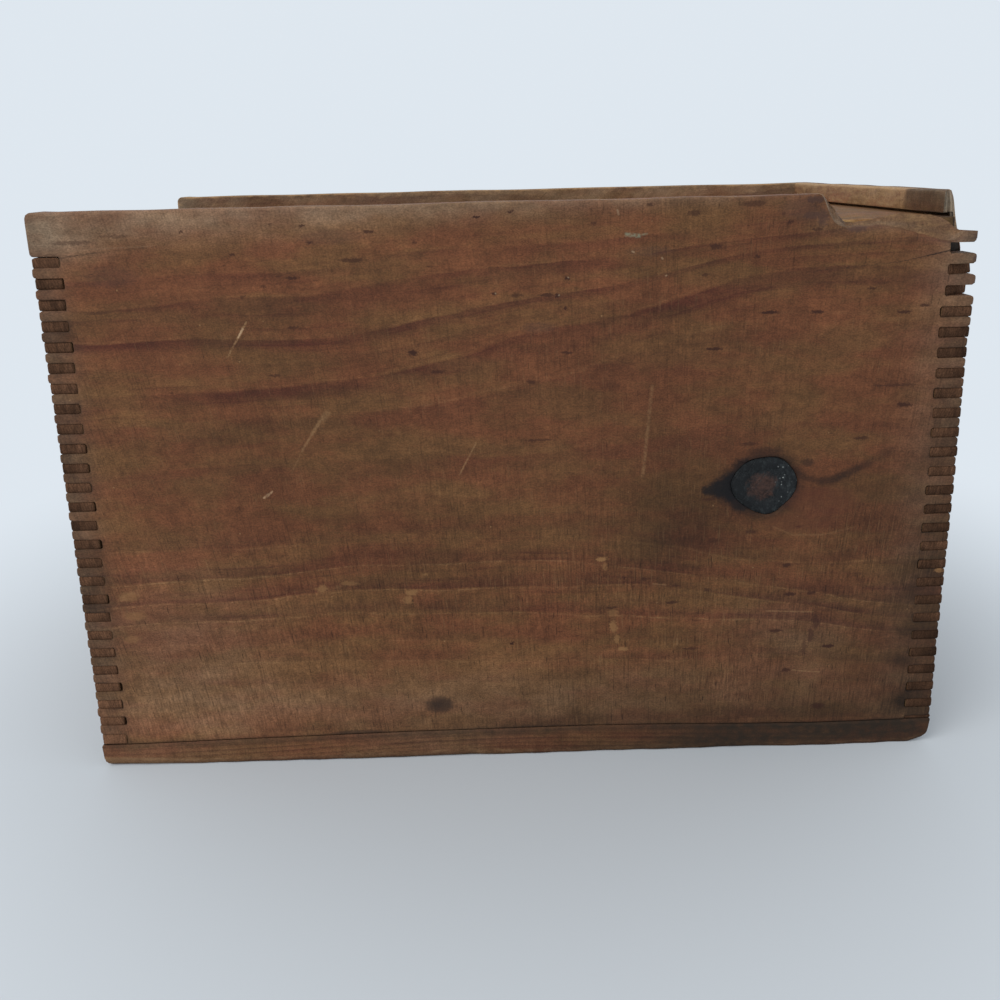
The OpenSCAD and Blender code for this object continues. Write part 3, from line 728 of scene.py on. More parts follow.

# scratches, cracks and painted highlights: start, end, width, strength, how broken up
frontScratchesAndHighlights = [
    ((150, 115, 80), [
        ((-85.6, 161.7), (-92.9, 150.2), 0.5, 0.6, 0.8), ((-62.6, 130.2), (-67.1, 123.9), 0.9, 0.5, 0.5),
        ((-67.1, 123.9), (-71, 118), 0.6, 0.5, 0.5), ((-71, 118), (-74.9, 110.6), 0.4, 0.25, 0.8),
        ((-61.6, 130.6), (-63.4, 128.6), 1.7, 0.4, 0.5), ((-12.4, 119.2), (-18.2, 108.4), 0.45, 0.5, 0.6),
        ((48.5, 66.4), (53.1, 65.9), 0.4, 0.4, 0.4), ((57.7, 45.1), (57.6, 42.7), 0.5, 0.4, 0.4),
        ((46.8, 137), (44.2, 106.2), 0.9, 0.34, 0.7), ((89.1, 54.8), (105.9, 53.9), 0.4, 0.45, 0.6),
        ((99.4, 31.4), (109.7, 30.2), 0.4, 0.45, 0.6), ((90, 86.5), (97, 83.2), 0.5, 0.16, 0.4),
        ((97, 83.2), (108, 83), 0.5, 0.2, 0.4), ((108, 83), (118, 85.4), 0.5, 0.16, 0.5),
    ]),
    # a pale line along the upper lip of the crack below: a painted highlight
    ((132, 104, 80), [
        ((-147, 184.9), (-131, 185.9), 0.4, 0.4, 0.3), ((-131, 185.9), (-113, 186.4), 0.34, 0.35, 0.5),
    ]),
    ((186, 154, 120), [
        ((-87.0, 159.5), (-88.6, 156.8), 0.5, 0.8, 0.3), ((-85, 102), (-83.6, 103.2), 0.6, 0.55, 0.6),
        ((-83.9, 102.4), (-82.1, 104.2), 0.45, 0.5, 0.5),
    ]),
    ((128, 136, 114), [
        ((37.6, 186.4), (41.6, 185.9), 1.0, 0.6, 0.7), ((42.6, 186.2), (44.2, 186.5), 0.5, 0.5, 0.5),
    ]),
    # nicks, and light on the resin beads
    ((172, 146, 116), [
        ((39.6, 181), (40, 180.8), 0.45, 0.45, 0.0), ((49.1, 178.8), (49.3, 178.5), 0.45, 0.4, 0.0),
        ((50.5, 173.1), (50.8, 173.3), 0.4, 0.45, 0.0), ((34.6, 194), (35, 192.6), 0.5, 0.35, 0.4),
        ((18.9, 173.4), (19, 173.3), 0.4, 0.5, 0.0), ((15.9, 167.8), (16, 167.8), 0.4, 0.45, 0.0),
        ((-4.7, 168.9), (-4.6, 168.9), 0.4, 0.45, 0.0),
    ]),
    ((40, 27, 21), [
        ((96.0, 173.2), (125.9, 175.7), 0.32, 0.4, 0.8), ((125.9, 175.7), (135, 177.4), 0.32, 0.6, 0.5),
        ((135, 177.4), (143.0, 179.2), 0.34, 0.9, 0.1), ((97.5, 105.4), (100.3, 103.8), 2.0, 0.55, 0.2),
        ((100.3, 103.8), (105.6, 102.4), 2.0, 0.55, 0.2), ((105.6, 102.4), (109.5, 102.9), 2.2, 0.7, 0.2),
        ((109.5, 102.9), (115, 105.3), 2.4, 0.8, 0.2), ((115, 105.3), (118, 106.8), 2.2, 0.7, 0.2),
        ((118, 106.8), (121.5, 108.5), 2.2, 0.55, 0.3), ((121.5, 108.5), (129, 113), 2.6, 0.35, 0.4),
        ((-142.9, 183.3), (-131, 184.8), 0.4, 0.5, 0.3), ((-131, 184.8), (-115, 185.8), 0.34, 0.3, 0.6),
    ]),
]


def knotRadius(angle):
    # radius by angle: a circle, a bump to the left and two sine waves
    turn = np.abs(np.angle(np.exp(1j * (angle - np.pi))))
    wave = 0.35 * np.sin(3 * angle + 0.6) + 0.25 * np.sin(5 * angle + 2.0)
    return 10.2 + 2.6 * np.exp(-(turn / 0.5) ** 2) + wave


def alongStations(x, heights):
    # smooth cubic through heights at evenly spaced stations
    first, step = front["stations"]
    t = np.clip((x - first) / step, 0, len(heights) - 1.001)
    k = np.floor(t).astype(int)
    t = t - k
    a, b, c, d = (np.asarray(heights, float)[np.clip(k + j, 0, len(heights) - 1)] for j in (-1, 0, 1, 2))
    return b + 0.5 * t * (c - a + t * (2 * a - 5 * b + 4 * c - d + t * (3 * (b - c) + d - a)))


def frontRings(x, z, deep):
    # ring number between the traced lines, bent round the knot; it counts up both ways from the heart
    kx, kz = x - front["knotX"] - 6, z - front["knotZ"]
    pull = 0.45 * kz * np.exp(-(kx / 30) ** 2 - (kz / 19) ** 2)
    level = z - pull + 0.45 * deep + 0.8 * ripples(x, z, 60, 4)
    heights = [alongStations(x, row) for _, row in front["lines"]]
    steps = zip(heights[:-1], heights[1:])
    ring = sum(np.clip((level - low) / (high - low), 0, 1) for low, high in steps)
    number = np.arange(len(heights))
    heart = front["heart"]
    middle = number - 0.3 * np.sign(number - heart)
    plain = 1 - np.interp(ring, middle, [strength for strength, _ in front["lines"]])
    return heart + np.abs(ring - heart), plain


def pinRound(right):
    # how round each slot's inner end is
    return np.random.default_rng(77 + right).uniform(0.15, 0.85, joint["count"])


def looseSlots(top, seed):
    # the slots are a little larger than the pins, each by its own amount
    spans = pinSpans(top)
    dice = np.random.default_rng(seed)
    spans[:, 0] -= dice.uniform(0.0, joint["slack"], len(spans))
    spans[:, 1] += dice.uniform(0.0, joint["slack"], len(spans))
    return spans, dice.uniform(0.0, 1.0, len(spans)) ** 3 + 0.06


def sideBoard(chipped):
    # outer and inner grids of a long side; only the front one has the chip and the knot hole
    left, leftEnd = looseSlots(joint["leftTop"], 25 + chipped)
    right, rightEnd = looseSlots(joint["rightTop"], 27 + chipped)
    if chipped:
        rightEnd = rightEnd * 0.5 + follow(right.mean(1), joint["rightLonger"])
    sMarks = [-box["halfW"], -innerW, innerW, box["halfW"]]
    hMarks = np.concatenate([left.ravel(), right.ravel(), grooveMarks])
    sLines = gridLines(-box["halfW"], box["halfW"], 3.6, sMarks, besideEdge)
    if chipped:
        cx, cz, half = front["knotX"], front["knotZ"], front["holeHalf"]
        aroundHole = np.arange(cx - 2 * half, cx + 2 * half + 0.1, half / 8)
        alongBreak = np.arange(cx + 2.1 * half, front["fineTo"], 1.3)
        coarse = sLines[(sLines < cx - 2.1 * half) | (sLines > front["fineTo"])]
        sLines = np.unique(np.concatenate([coarse, aroundHole, alongBreak, front["scoopLines"]]))
        sLines = sLines[np.concatenate([[True], np.diff(sLines) > 0.2])]
        hMarks = np.concatenate([hMarks, [cz - half, cz + half]])
    bottom = box["bottomT"]
    hLines = gridLines(bottom, box["top"], 1.6, hMarks[hMarks > bottom], [-0.6, 0.6])
    hLines = np.unique(np.concatenate([hLines, box["top"] - belowTop]))
    hLines = hLines[np.concatenate([[True], np.diff(hLines) > 0.06])]
    s, h = np.meshgrid(sLines, hLines, indexing="ij")
    midS, midH = (s[1:, 1:] + s[:-1, :-1]) / 2, (h[1:, 1:] + h[:-1, :-1]) / 2
    keep = ~((midS < -innerW) & within(midH, left)) & ~((midS > innerW) & within(midH, right))
    leftGap = np.hypot(np.maximum(s + innerW, 0), spanDistance(h, left))
    rightGap = np.hypot(np.maximum(innerW - s, 0), spanDistance(h, right))
    slotGap = np.minimum(leftGap, rightGap)
    rimGap = np.minimum(np.minimum(s + box["halfW"], box["halfW"] - s), box["top"] - h)
    grids = []
    for deep in (0, 1):
        x, z = s.copy(), h.copy()
        for side, spans, longer in ((-1, left, leftEnd), (1, right, rightEnd)):
            # finger tips: rounded, and each a little shorter or longer
            tip = np.clip(1 - (box["halfW"] - side * s) / joint["reach"], 0, 1)
            count = np.searchsorted(spans[:, 1], h - 1e-6)
            jitter = np.random.default_rng(31 + side).uniform(0.02, 0.4, len(spans) + 1)
            jitter[-1] = 0.03
            if chipped and side > 0:
                jitter[:-3] += follow(spans.mean(1)[:len(jitter) - 3], joint["rightWear"])
                jitter[-3:] = joint["shortTips"]
            x -= side * tip * (jitter[count] + rimDrop(spanDistance(h, spans), joint["tipR"]))
            # some slots run on past the end board, which leaves a dark gap
            inSlot = spanDistance(h, spans) < 0.01
            past = np.clip(1 - (innerW - side * s) / joint["reach"], 0, 1) * (side * s < innerW + 0.01)
            x -= side * inSlot * past * longer[spanIndex(h, spans)]
            # the slots' inner ends are round
            slotEdge = edgeDistance(h, spans)
            near = np.clip(1 - np.abs(innerW - side * s) / joint["slotReach"], 0, 1)
            bow = rimDrop(slotEdge, joint["slotEndR"]) * (inSlot | (slotEdge < 0.01))
            x += side * near * bow * pinRound(side > 0)[spanIndex(h, spans)]
        x, z = roundCorner(x, z, -box["halfW"], box["top"], box["leftCornerR"])
        if not chipped:
            x, z = roundCorner(x, z, box["halfW"], box["top"], box["rightCornerR"])
        low = np.clip((h - bottom) / box["bowReach"], 0, 1)
        z += (1 - low) * (lowEdge(x) - bottom)
        worn = 0.16 * np.maximum(1 + ripples(x, 0 * x, 45, 5 + chipped), 0.1)
        z -= worn * spread(h, 186, box["top"]) * spread(box["halfW"] - np.abs(x), 3, 8)
        depth = np.zeros_like(s)
        if deep:
            depth = np.where(inGroove(h), box["grooveDeep"], box["boardT"])
        if chipped:
            top = follow(x, front["innerTop" if deep else "outerTop"])
            rough = 0.16 * ripples(x, 0 * x, 3.2, 12 + deep) + 0.2 * ripples(x, 0 * x, 9, 14 + deep)
            top = top + rough * spread(x, 103, 106) * spread(box["halfW"] - x, 0, 9)
            start = np.interp(x, front["firmX"], front["firmZ"])
            part = (h - start) / (box["top"] - start)
            z = np.where((h > start) & (x > front["shapedX"]), start + part * (top - start), z)
            if deep:
                bared = (h > box["grooveLow"] + 0.1) & (x > front["openX"])
                depth = np.where(bared, box["grooveDeep"], depth)
            # the square left out of the grid becomes the knot hole
            kx, kz = x - cx, z - cz
            far, angle = np.hypot(kx, kz), np.arctan2(kz, kx)
            square = half / np.maximum(np.maximum(np.abs(np.cos(angle)), np.abs(np.sin(angle))), 1e-6)
            hole = (knotRadius(angle) + 0.12) * (0.78 if deep else 1.0)
            move = (hole - square) * np.clip(1 - (far / square - 1) / 0.9, 0, 1)
            x, z = x + move * np.cos(angle), z + move * np.sin(angle)
            holeGap = np.maximum(np.hypot(x - cx, z - cz) - hole, 0)
        edge = np.maximum(rimDrop(slotGap, box["slotR"]), rimDrop(h - bottom, box["lowR"]))
        edge = np.maximum(edge, rimDrop(rimGap, box["innerR"] if deep else box["outerR"]))
        if chipped and not deep:
            edge = np.where((h > 186) & (x > 98), rimDrop(slotGap, box["slotR"]), edge)
            edge = np.maximum(edge, rimDrop(top - z, 2.6) * spread(x, 106, 110) * spread(x, 146, 143))
            edge = np.maximum(edge, rimDrop(holeGap, 0.5))
        depth = depth + (-edge if deep else 0.12 + 0.1 * ripples(x, z, 70, 8) + edge)
        grids.append(np.stack([x, z, np.maximum(depth, 0.01)], -1))
    if chipped:
        keep &= ~((np.abs(midS - cx) < half) & (np.abs(midH - cz) < half))
    made = plate(grids[0], grids[1], keep, [0.12, 0.3, 0.5, 0.7, 0.88])
    leftNumber, rightNumber = (np.searchsorted(spans[:, 1], h - 1e-6) for spans in (left, right))
    number = np.where(s < 0, leftNumber, 40 + rightNumber)
    return carry(made, slotGap=slotGap, rimGap=rimGap, gridS=s, gridH=h, finger=number)


def fingerTones(made, seed):
    # each finger a little lighter or darker than the board
    tones = np.random.default_rng(seed).uniform(-0.26, 0.18, 80)
    return tones[made["finger"]] * spread(np.abs(made["gridS"]), innerW - 4, innerW + 2)


made = sideBoard(True)
x, z, deep = made["points"].T
inWall = made["wall"] * (made["level"] > 0.05) * (made["level"] < 0.95)
# splinters on the broken edge, which is the top row of the grid
topRow = made["gridH"] > box["top"] - belowTop[0]
splintered = (x > front["splinters"][0]) * (x < front["splinters"][1])
made["points"][:, 1] += inWall * topRow * splintered * 0.35 * ripples(x * 1.6, deep * 2.5, 4, 61)
z = made["points"][:, 1]
facing = (made["level"] < 0.5).astype(float)
broken = made["wall"] * topRow * (x > front["breakX"])
endGrain = made["end"] * made["wall"] * (np.abs(made["gridS"]) > innerW - 0.1) * 0.75
rub = 0.42 * np.exp(-np.maximum(made["rimGap"], 0) / 0.9) * (0.65 + 0.3 * ripples(x, z, 23, 33))
rub = rub * (1 - 0.85 * (x > 99) * (made["gridH"] > 188))
rub += spots(x, z, front["scuffs"]) * facing
# bare wood on the broken edge; at the scoop's left wall it is paler still, a painted highlight along the
# edge
rub += (0.08 + 0.3 * spread(x, 107, 114) + 0.4 * spread(x, 105, 102)) * broken
slotDirt = np.maximum(0.15 + 0.5 * ripples(x, z, 12, 38), 0)
grime = slotDirt * np.exp(-made["slotGap"] / 0.4) * (made["rimGap"] > 0.4)
grime += spots(x, z, front["stains"]) * facing
grime += 0.75 * np.exp(-np.abs(z - lowEdge(x)) / 0.6)
knotGap = np.hypot(x - front["knotX"], z - front["knotZ"]) - front["barkR"]
grime += 0.6 * np.exp(-np.maximum(knotGap, 0) / 2.0) * facing + 0.08 * broken
# the broken edge is greyed; at the scoop's left wall more so, as part of that painted highlight
weather = spots(x, z, front["weather"]) * facing + broken * (0.35 + 0.35 * spread(x, 110, 106))
lift = spots(x, z, front["lifts"]) * facing + fingerTones(made, 36)
inside = np.where(broken > 0, 0, 1 - facing)
warm = spots(x, z, front["warm"]) * facing
ring, plain = frontRings(x, z, deep)
# more saw marks low on the board, fewer at the upper left
sawn = 1 + (0.6 + 0.4 * spread(x, -20, 60)) * spread(z, 108, 60)
sawn -= 0.45 * spread(z, 145, 178) * spread(x, 60, -20)
traits = traitsFrom(ring, inside, rub, grime, endGrain, lift, weather, warm, plain, sawn)
frontMaterial = pineMaterial("front_pine", front, frontScratchesAndHighlights, frontStrokes)
points = np.stack([x, deep - box["halfD"], z], 1)
frontPiece = putMesh("frontBoard", points, made["quads"], traits, made["points"], frontMaterial)
finishPiece(frontPiece, "case", "front_board")

# the other walls share one material
wall = {
    # the dark tone serves for dirt, and for the painted shade in the right end's groove and top slot
    "early": (103, 72, 48), "late": (82, 50, 36), "bare": (150, 119, 85), "dirt": (38, 29, 22),
    "cut": (78, 54, 39), "grey": (119, 104, 86), "dash": 0.6, "saw": 0.6, "bump": 0.4, "shine": 0.1,
    "fan": (0.0, 120.0, 0.0012),
    "lines": [0, 7, 16, 22, 31, 38, 49, 57, 70, 79, 92, 104, 113, 126, 134, 148, 156, 169, 178, 190, 203,
              215],
}
wallMaterial = pineMaterial("wall_pine", wall)


def wallRings(a, z, deep, seed, arch):
    # nearly level lines with one low arch along the board
    bow = arch * np.exp(-(a / 60) ** 2) * np.exp(-((z - 110) / 60) ** 2)
    level = z + 5 * ripples(a, z * 0.3, 150, seed) - bow + 0.9 * deep
    return np.interp(level, wall["lines"], np.arange(len(wall["lines"])))


made = sideBoard(False)
x, z, deep = made["points"].T
facing = (made["level"] < 0.5).astype(float)
endGrain = made["end"] * made["wall"] * (np.abs(made["gridS"]) > innerW - 0.1) * 0.75
rub = 0.5 * np.exp(-np.maximum(made["rimGap"], 0) / 1.0) * (0.75 + 0.25 * ripples(x, z, 41, 34))
rub += 0.25 * (1 - facing) * spread(z, 188, 191)
grime = 0.4 * np.exp(-made["slotGap"] / 0.4) * (made["rimGap"] > 0.4)
weather = 0.5 * spread(z, 184, 197) + 0.3 * spread(np.abs(x), 138, 148)
ring = wallRings(x, z, deep, 71, 26)
traits = traitsFrom(ring, 1 - facing, rub, grime, endGrain, fingerTones(made, 37), weather)
points = np.stack([x, box["halfD"] - deep, z], 1)
grain = made["points"] + np.array([700, 0, 300])
backPiece = putMesh("backBoard", points, made["quads"], traits, grain, wallMaterial)
finishPiece(backPiece, "case", "back_board")


ends = {
    "left": {"top": box["grooveLow"], "pinTop": joint["leftTop"], "sunk": 0.7, "seed": 81, "arch": 18,
             # height, tone of the pins' end grain there, how far they stand back
             "pinTones": [(10, 0.95), (36, 0.55), (60, 0.18), (110, 0.1), (150, 0.0), (184, 0.0)],
             "back": [(10, 0.06), (120, 0.14), (184, 0.45)]},
    "right": {"top": box["top"], "pinTop": joint["rightTop"], "sunk": 0.12, "seed": 82, "arch": -14,
              "pinTones": [(10, -0.2), (60, -0.25), (100, -0.05), (120, 0.2), (150, -0.05), (164, 0.0),
                           (167, 0.55), (176, 0.7), (180, 0.3), (184, -0.15)],
              "back": [(10, 0.08), (120, 0.12), (184, 0.35)],
              # height, how far the outer face is broken back, and how far along the board that is felt
              "breakReach": 40,
              "break": [(160, 0.0), (168, 1.4), (174, 3.8), (179, 6.2), (183.8, 9.4), (190, 12.6),
                        (195, 15.6), (197.5, 17.6)],
              # for the three top pins: lost at the outer and at the inner face
              "pinLoss": [(9.4, 5.0), (2.6, 0.8), (6.5, 0.3)]},
}


def endBoard(values, right):
    # outer and inner grids of an end; its pins lie beyond innerD, and only the right one is broken
    spans = pinSpans(values["pinTop"])
    spans[:, 0] = np.maximum(spans[:, 0], box["bottomT"])
    bottom, top, half = box["bottomT"], values["top"], box["halfD"]
    sMarks = [-half, -innerD, innerD, half]
    hMarks = np.concatenate([spans.ravel(), grooveMarks]) if right else spans.ravel()
    sLines = gridLines(-half, half, 3.0, sMarks, besideEdge)
    if right:
        sLines = np.unique(np.concatenate([sLines, np.arange(-84, -60, 1.0)]))
    hLines = gridLines(bottom, top, 1.4, hMarks, [-0.6, 0.6])
    hLines = np.unique(np.concatenate([hLines, top - belowTop]))
    s, h = np.meshgrid(sLines, hLines, indexing="ij")
    midS, midH = (s[1:, 1:] + s[:-1, :-1]) / 2, (h[1:, 1:] + h[:-1, :-1]) / 2
    keep = (np.abs(midS) < innerD) | within(midH, spans)
    # open places are everything beside the pins
    pinEdge = edgeDistance(h, spans)
    slotGap = np.hypot(np.maximum(innerD - np.abs(s), 0), np.where(within(h, spans), pinEdge, 0))
    slotGap = np.where(np.abs(s) > innerD, pinEdge, slotGap)
    rimGap, tipGap = top - h, half - np.abs(s)
    tips = np.random.default_rng(values["seed"]).uniform(0.1, 1.0, (2, len(spans)))
    tips = tips * follow(spans.mean(1), values["back"]) + 0.04
    number = spanIndex(h, spans)
    grids = []
    for deep in (0, 1):
        y, z = s.copy(), h.copy()
        for k, side in enumerate((-1, 1)):
            part = np.clip((side * s - innerD) / box["boardT"], 0, 1)
            y -= side * part * (tips[k][number] + rimDrop(pinEdge, 0.4) * spread(tipGap, 2, 0))
        if right:
            for k, loss in enumerate(values["pinLoss"]):
                part = np.clip((-s - innerD) / box["boardT"], 0, 1)
                y += np.where(number == len(spans) - 1 - k, part * loss[deep], 0)
            # the break slants through the board's thickness
            lost = follow(h, values["break"]) + 0.5 * ripples(h, 0 * h, 9, 91) * spread(h, 172, 180)
            lost = lost * (0.5 * inGroove(h) if deep else 1)
            fade = np.clip(1 - (s + innerD) / values["breakReach"], 0, 1)
            y += lost * np.where(s > -innerD - 0.01, fade, 1)
        low = np.clip((h - bottom) / box["bowReach"], 0, 1)
        z += (1 - low) * (lowEdge(box["halfW"] * (1 if right else -1)) - bottom)
        z -= 0.14 * np.maximum(1 + ripples(y, 0 * y, 40, values["seed"]), 0.1) * spread(h, top - 10, top)
        depth = np.full_like(s, values["sunk"])
        if deep:
            depth = np.where(inGroove(h) & right, box["grooveDeep"], box["boardT"])
            bow = 0.9 * pinRound(right)[number] * rimDrop(pinEdge, joint["slotEndR"])
            depth = depth - bow * (np.abs(s) > innerD) * within(h, spans)
            if right:
                depth = depth + 0.95 * follow(h, joint["rightLonger"]) * (s < -innerD - 0.01)
        edge = np.maximum(rimDrop(slotGap, box["slotR"]), rimDrop(rimGap, 0.9))
        edge = np.maximum(edge, np.where(np.abs(s) > innerD, rimDrop(tipGap, 0.3), 0))
        if right and not deep:
            edge = edge + follow(h, joint["rightWear"]) * spread(half + s, 9, 0)
        depth = depth + (-edge if deep else 0.08 + 0.07 * ripples(y, z, 60, values["seed"] + 1) + edge)
        grids.append(np.stack([y, z, depth], -1))
    levels = [0.08, 0.18, 0.28, 0.4, 0.52, 0.64, 0.76, 0.88] if right else [0.12, 0.35, 0.65, 0.88]
    made = plate(grids[0], grids[1], keep, levels)
    return carry(made, slotGap=slotGap, rimGap=rimGap, gridS=s, gridH=h, tipGap=tipGap, number=number)


for key, values in ends.items():
    right = key == "right"
    made = endBoard(values, right)
    y, z, deep = made["points"].T
    inWall = made["wall"] * (made["level"] > 0.05) * (made["level"] < 0.95)
    abovePins = made["gridH"] > joint["rightTop"] + 0.2
    broken = made["wall"] * right * abovePins * (made["gridS"] < -innerD + 0.1)
    # splinters: each row of the break stands out or back by its own amount
    made["points"][:, 0] += inWall * broken * 0.55 * ripples(deep * 3.1, z * 0.12, 3.0, 95)
    y = made["points"][:, 0]
    facing = (made["level"] < 0.5).astype(float)
    isPin = made["end"] * made["wall"] * (np.abs(made["gridS"]) > innerD - 0.1) * (1 - broken)
    dice = np.random.default_rng(values["seed"] + 5)
    pinTone = follow(z, values["pinTones"]) + dice.uniform(-0.18, 0.18, 30)[made["number"]]
    # the outer half of many pins is stained
    pinTone -= dice.uniform(-0.3, 0.45, 30)[made["number"]] * spread(deep, 6.5, 2.5)
    rub = 0.45 * np.exp(-np.maximum(made["rimGap"], 0) / 1.0) * (0.75 + 0.25 * ripples(y, z, 37, 35))
    rub += 0.45 * broken * (ripples(deep * 3.1, z * 0.1, 2.0, 96) > 0.15)
    grime = 0.2 * np.exp(-made["slotGap"] / 0.35) * (made["tipGap"] > 0.1)
    grime += (0.06 + 0.4 * ripples(deep * 3.1, z * 0.12, 2.2, 97)) * broken
    lift = 0 * y
    if right:
        # the lip over the groove, stained near the break, and the groove below it darkened as painted
        # shade
        lip = (1 - facing) * spread(z, 189.5, 191)
        stained = lip * spread(y, -51, -55)
        grooveShade = (1 - facing) * (z > 183) * (z < 190.5) * spread(y, -58, -74)
        rub += 0.5 * lip * spread(y, -56, -50)
        grime += 0.4 * stained + 0.55 * grooveShade
        # the broken face is painted lighter, as painted light where the lamp leaves it in shade
        lift = 0.3 * lip * spread(y, -55, -51) - 0.2 * stained + broken - 0.35 * grooveShade
        # the top pin's broken end, deep in its slot, is painted near black as painted shade
        topPin = (made["number"] == joint["count"] - 1) & (made["gridH"] < joint["rightTop"] + 0.1)
        pinTone = np.where(topPin, -0.8, pinTone)
        grime += 0.9 * topPin * isPin
    weather = 0.4 * spread(z, values["top"] - 8, values["top"]) + 0.3 * spread(np.abs(y), 82, 92)
    weather += 0.9 * broken
    ring = wallRings(y, z, deep * 3, values["seed"], values["arch"])
    inside = (1 - facing) * (np.abs(made["gridS"]) < innerD - 0.05) * (1 - broken)
    traits = traitsFrom(ring, inside, rub, grime, isPin, lift + isPin * pinTone, weather * (1 - isPin))
    side = 1 if right else -1
    points = np.stack([side * (box["halfW"] - deep), y, z], 1)
    grain = made["points"] + np.array([side * 400 - 300, 0, side * 250])
    piece = putMesh(key + "EndBoard", points, made["quads"], traits, grain, wallMaterial)
    finishPiece(piece, "case", key + "_end_board")

# bottom board: x along, y across, depth up from the underside
bottom = {
    "early": (98, 66, 45), "late": (76, 47, 33), "bare": (140, 108, 78), "dirt": (50, 41, 34),
    "cut": (74, 58, 44), "grey": (108, 88, 68), "dash": 0.7, "saw": 0.5, "bump": 0.4, "shine": 0.15,
    "fan": (20.0, 900.0, 0.001),
    "nailX": [-121.5, -60.75, 0.0, 60.75, 121.5], "nailY": [-65.0, 0.0, 65.0], "nailEdge": 4.8,
    "dishDeep": 0.85, "dishIn": 2.5, "dishOut": 2.85, "endR": 3.2, "topGap": 0.22,
    # how round the low edge is, along x
    "worn": [(-152.5, 3.0), (-142, 2.4), (-130, 1.8), (-118, 1.0), (-60, 0.9), (-30, 1.6), (-18, 1.9),
             (-8, 0.9), (60, 1.0), (86, 1.3), (96, 0.35), (140, 0.3), (152.5, 0.8)],
    # x, height, half length, half height, strength
    "stains": [(74, 4, 26, 5, 0.75), (118, 6, 26, 5, 0.6), (142, 5, 14, 6, 0.55), (110, 4, 60, 9, 0.35),
               (-5, 8, 22, 3, 0.3), (30, 2, 30, 2, 0.3), (-60, 1, 70, 1.2, 0.3)],
}
bottomMaterial = pineMaterial("bottom_pine", bottom)
halfW, halfD = box["halfW"], box["halfD"]
nails = [(a, side * (halfD - bottom["nailEdge"])) for a in bottom["nailX"] for side in (-1, 1)]
nails += [(side * (halfW - bottom["nailEdge"]), b) for b in bottom["nailY"] for side in (-1, 1)]
nails = np.array(nails)
reach = np.array([-3.2, -2.7, -2.2, 2.2, 2.7, 3.2])
sLines = gridLines(-halfW, halfW, 3.0, (np.unique(nails[:, 0])[:, None] + reach).ravel(), [0.0])
hLines = gridLines(-halfD, halfD, 3.0, (np.unique(nails[:, 1])[:, None] + reach).ravel(), [0.0])
rims = np.array([0.3, 0.8, 1.5, 2.4, 3.6])
sLines = np.unique(np.concatenate([sLines, -halfW + rims, halfW - rims]))
hLines = np.unique(np.concatenate([hLines, -halfD + rims, halfD - rims]))
s, h = np.meshgrid(sLines, hLines, indexing="ij")
endGap, sideGap = halfW - np.abs(s), halfD - np.abs(h)
under = np.maximum(rimDrop(endGap, bottom["endR"]), rimDrop(sideGap, follow(s, bottom["worn"])))
under = under + 2.0 * spread(halfW - s, 9, 0) * spread(halfD + h, 30, 10)
dish = np.zeros_like(s)
for a, b in nails:
    dished = spread(np.hypot(s - a, h - b), bottom["dishOut"], bottom["dishIn"])
    dish = np.maximum(dish, bottom["dishDeep"] * dished)
wear = 0.35 * ripples(s, 0 * s, 40, 42) * spread(sideGap, 3, 0)
wear += 0.25 * ripples(s, 0 * s, 11, 43) * spread(sideGap, 2, 0)
inset = np.sign(h) * (0.6 + wear * 0.6) * spread(sideGap, 4, 0)
insetS = np.sign(s) * 0.3 * spread(endGap, 4, 0)
lowerZ = 0.05 + under + dish + 0.06 * (1 + ripples(s, h, 80, 44)) / 2
upperZ = lowEdge(s) - bottom["topGap"] - rimDrop(np.minimum(endGap, sideGap), 0.4)
lower = np.stack([s - insetS, h - inset, lowerZ], -1)
upper = np.stack([s - insetS * 0.5, h - inset * 0.4, upperZ], -1)
made = plate(lower, upper, np.ones((len(sLines) - 1, len(hLines) - 1), bool), [0.1, 0.3, 0.5, 0.7, 0.9])
x, y, z = made["points"].T
edgeGap = np.minimum(endGap, sideGap).ravel()[made["node"]]
inside = (made["level"] > 0.95) * (edgeGap > box["boardT"])
ringLines = np.array([0, 6, 9, 15, 19, 24, 33, 37, 46, 52, 60, 66, 75, 83, 90, 99, 106, 115, 121, 130,
                      138, 147, 155, 163, 172, 180, 190, 200, 210, 220])
level = y + 100 + 6 * ripples(x, y * 0.3, 160, 45) + 2.6 * z
ring = np.interp(level, ringLines, np.arange(len(ringLines)))
rub = 0.45 * np.exp(-edgeGap / 1.5) * (made["level"] < 0.2) + 0.25 * spread(x, -100, -140) * (edgeGap < 1)
grime = spots(x, z, bottom["stains"]) * (y < -90) + 0.5 * (made["level"] > 0.8) * np.exp(-edgeGap / 3)
nailGap = np.hypot(x[:, None] - nails[None, :, 0], y[:, None] - nails[None, :, 1]).min(1)
grime += (0.12 + 0.7 * spread(nailGap, 3.6, 2.4)) * (made["level"] < 0.05)
endGrain = made["end"] * made["wall"] * 0.85
lift = (0.12 + 0.16 * spread(x, -60, -130)) * (y < -90) - 0.3 * spread(x, 10, 70) * (y < -90)
weather = 0.2 * spread(x, -60, -140) + 0.35 * np.exp(-((x + 32) / 26) ** 2)
traits = traitsFrom(ring, inside.astype(float), rub, grime, endGrain, lift, weather)
grain = made["points"] + np.array([0, 900, 0])
piece = putMesh("bottomBoard", made["points"], made["quads"], traits, grain, bottomMaterial)
finishPiece(piece, "case", "bottom_board")

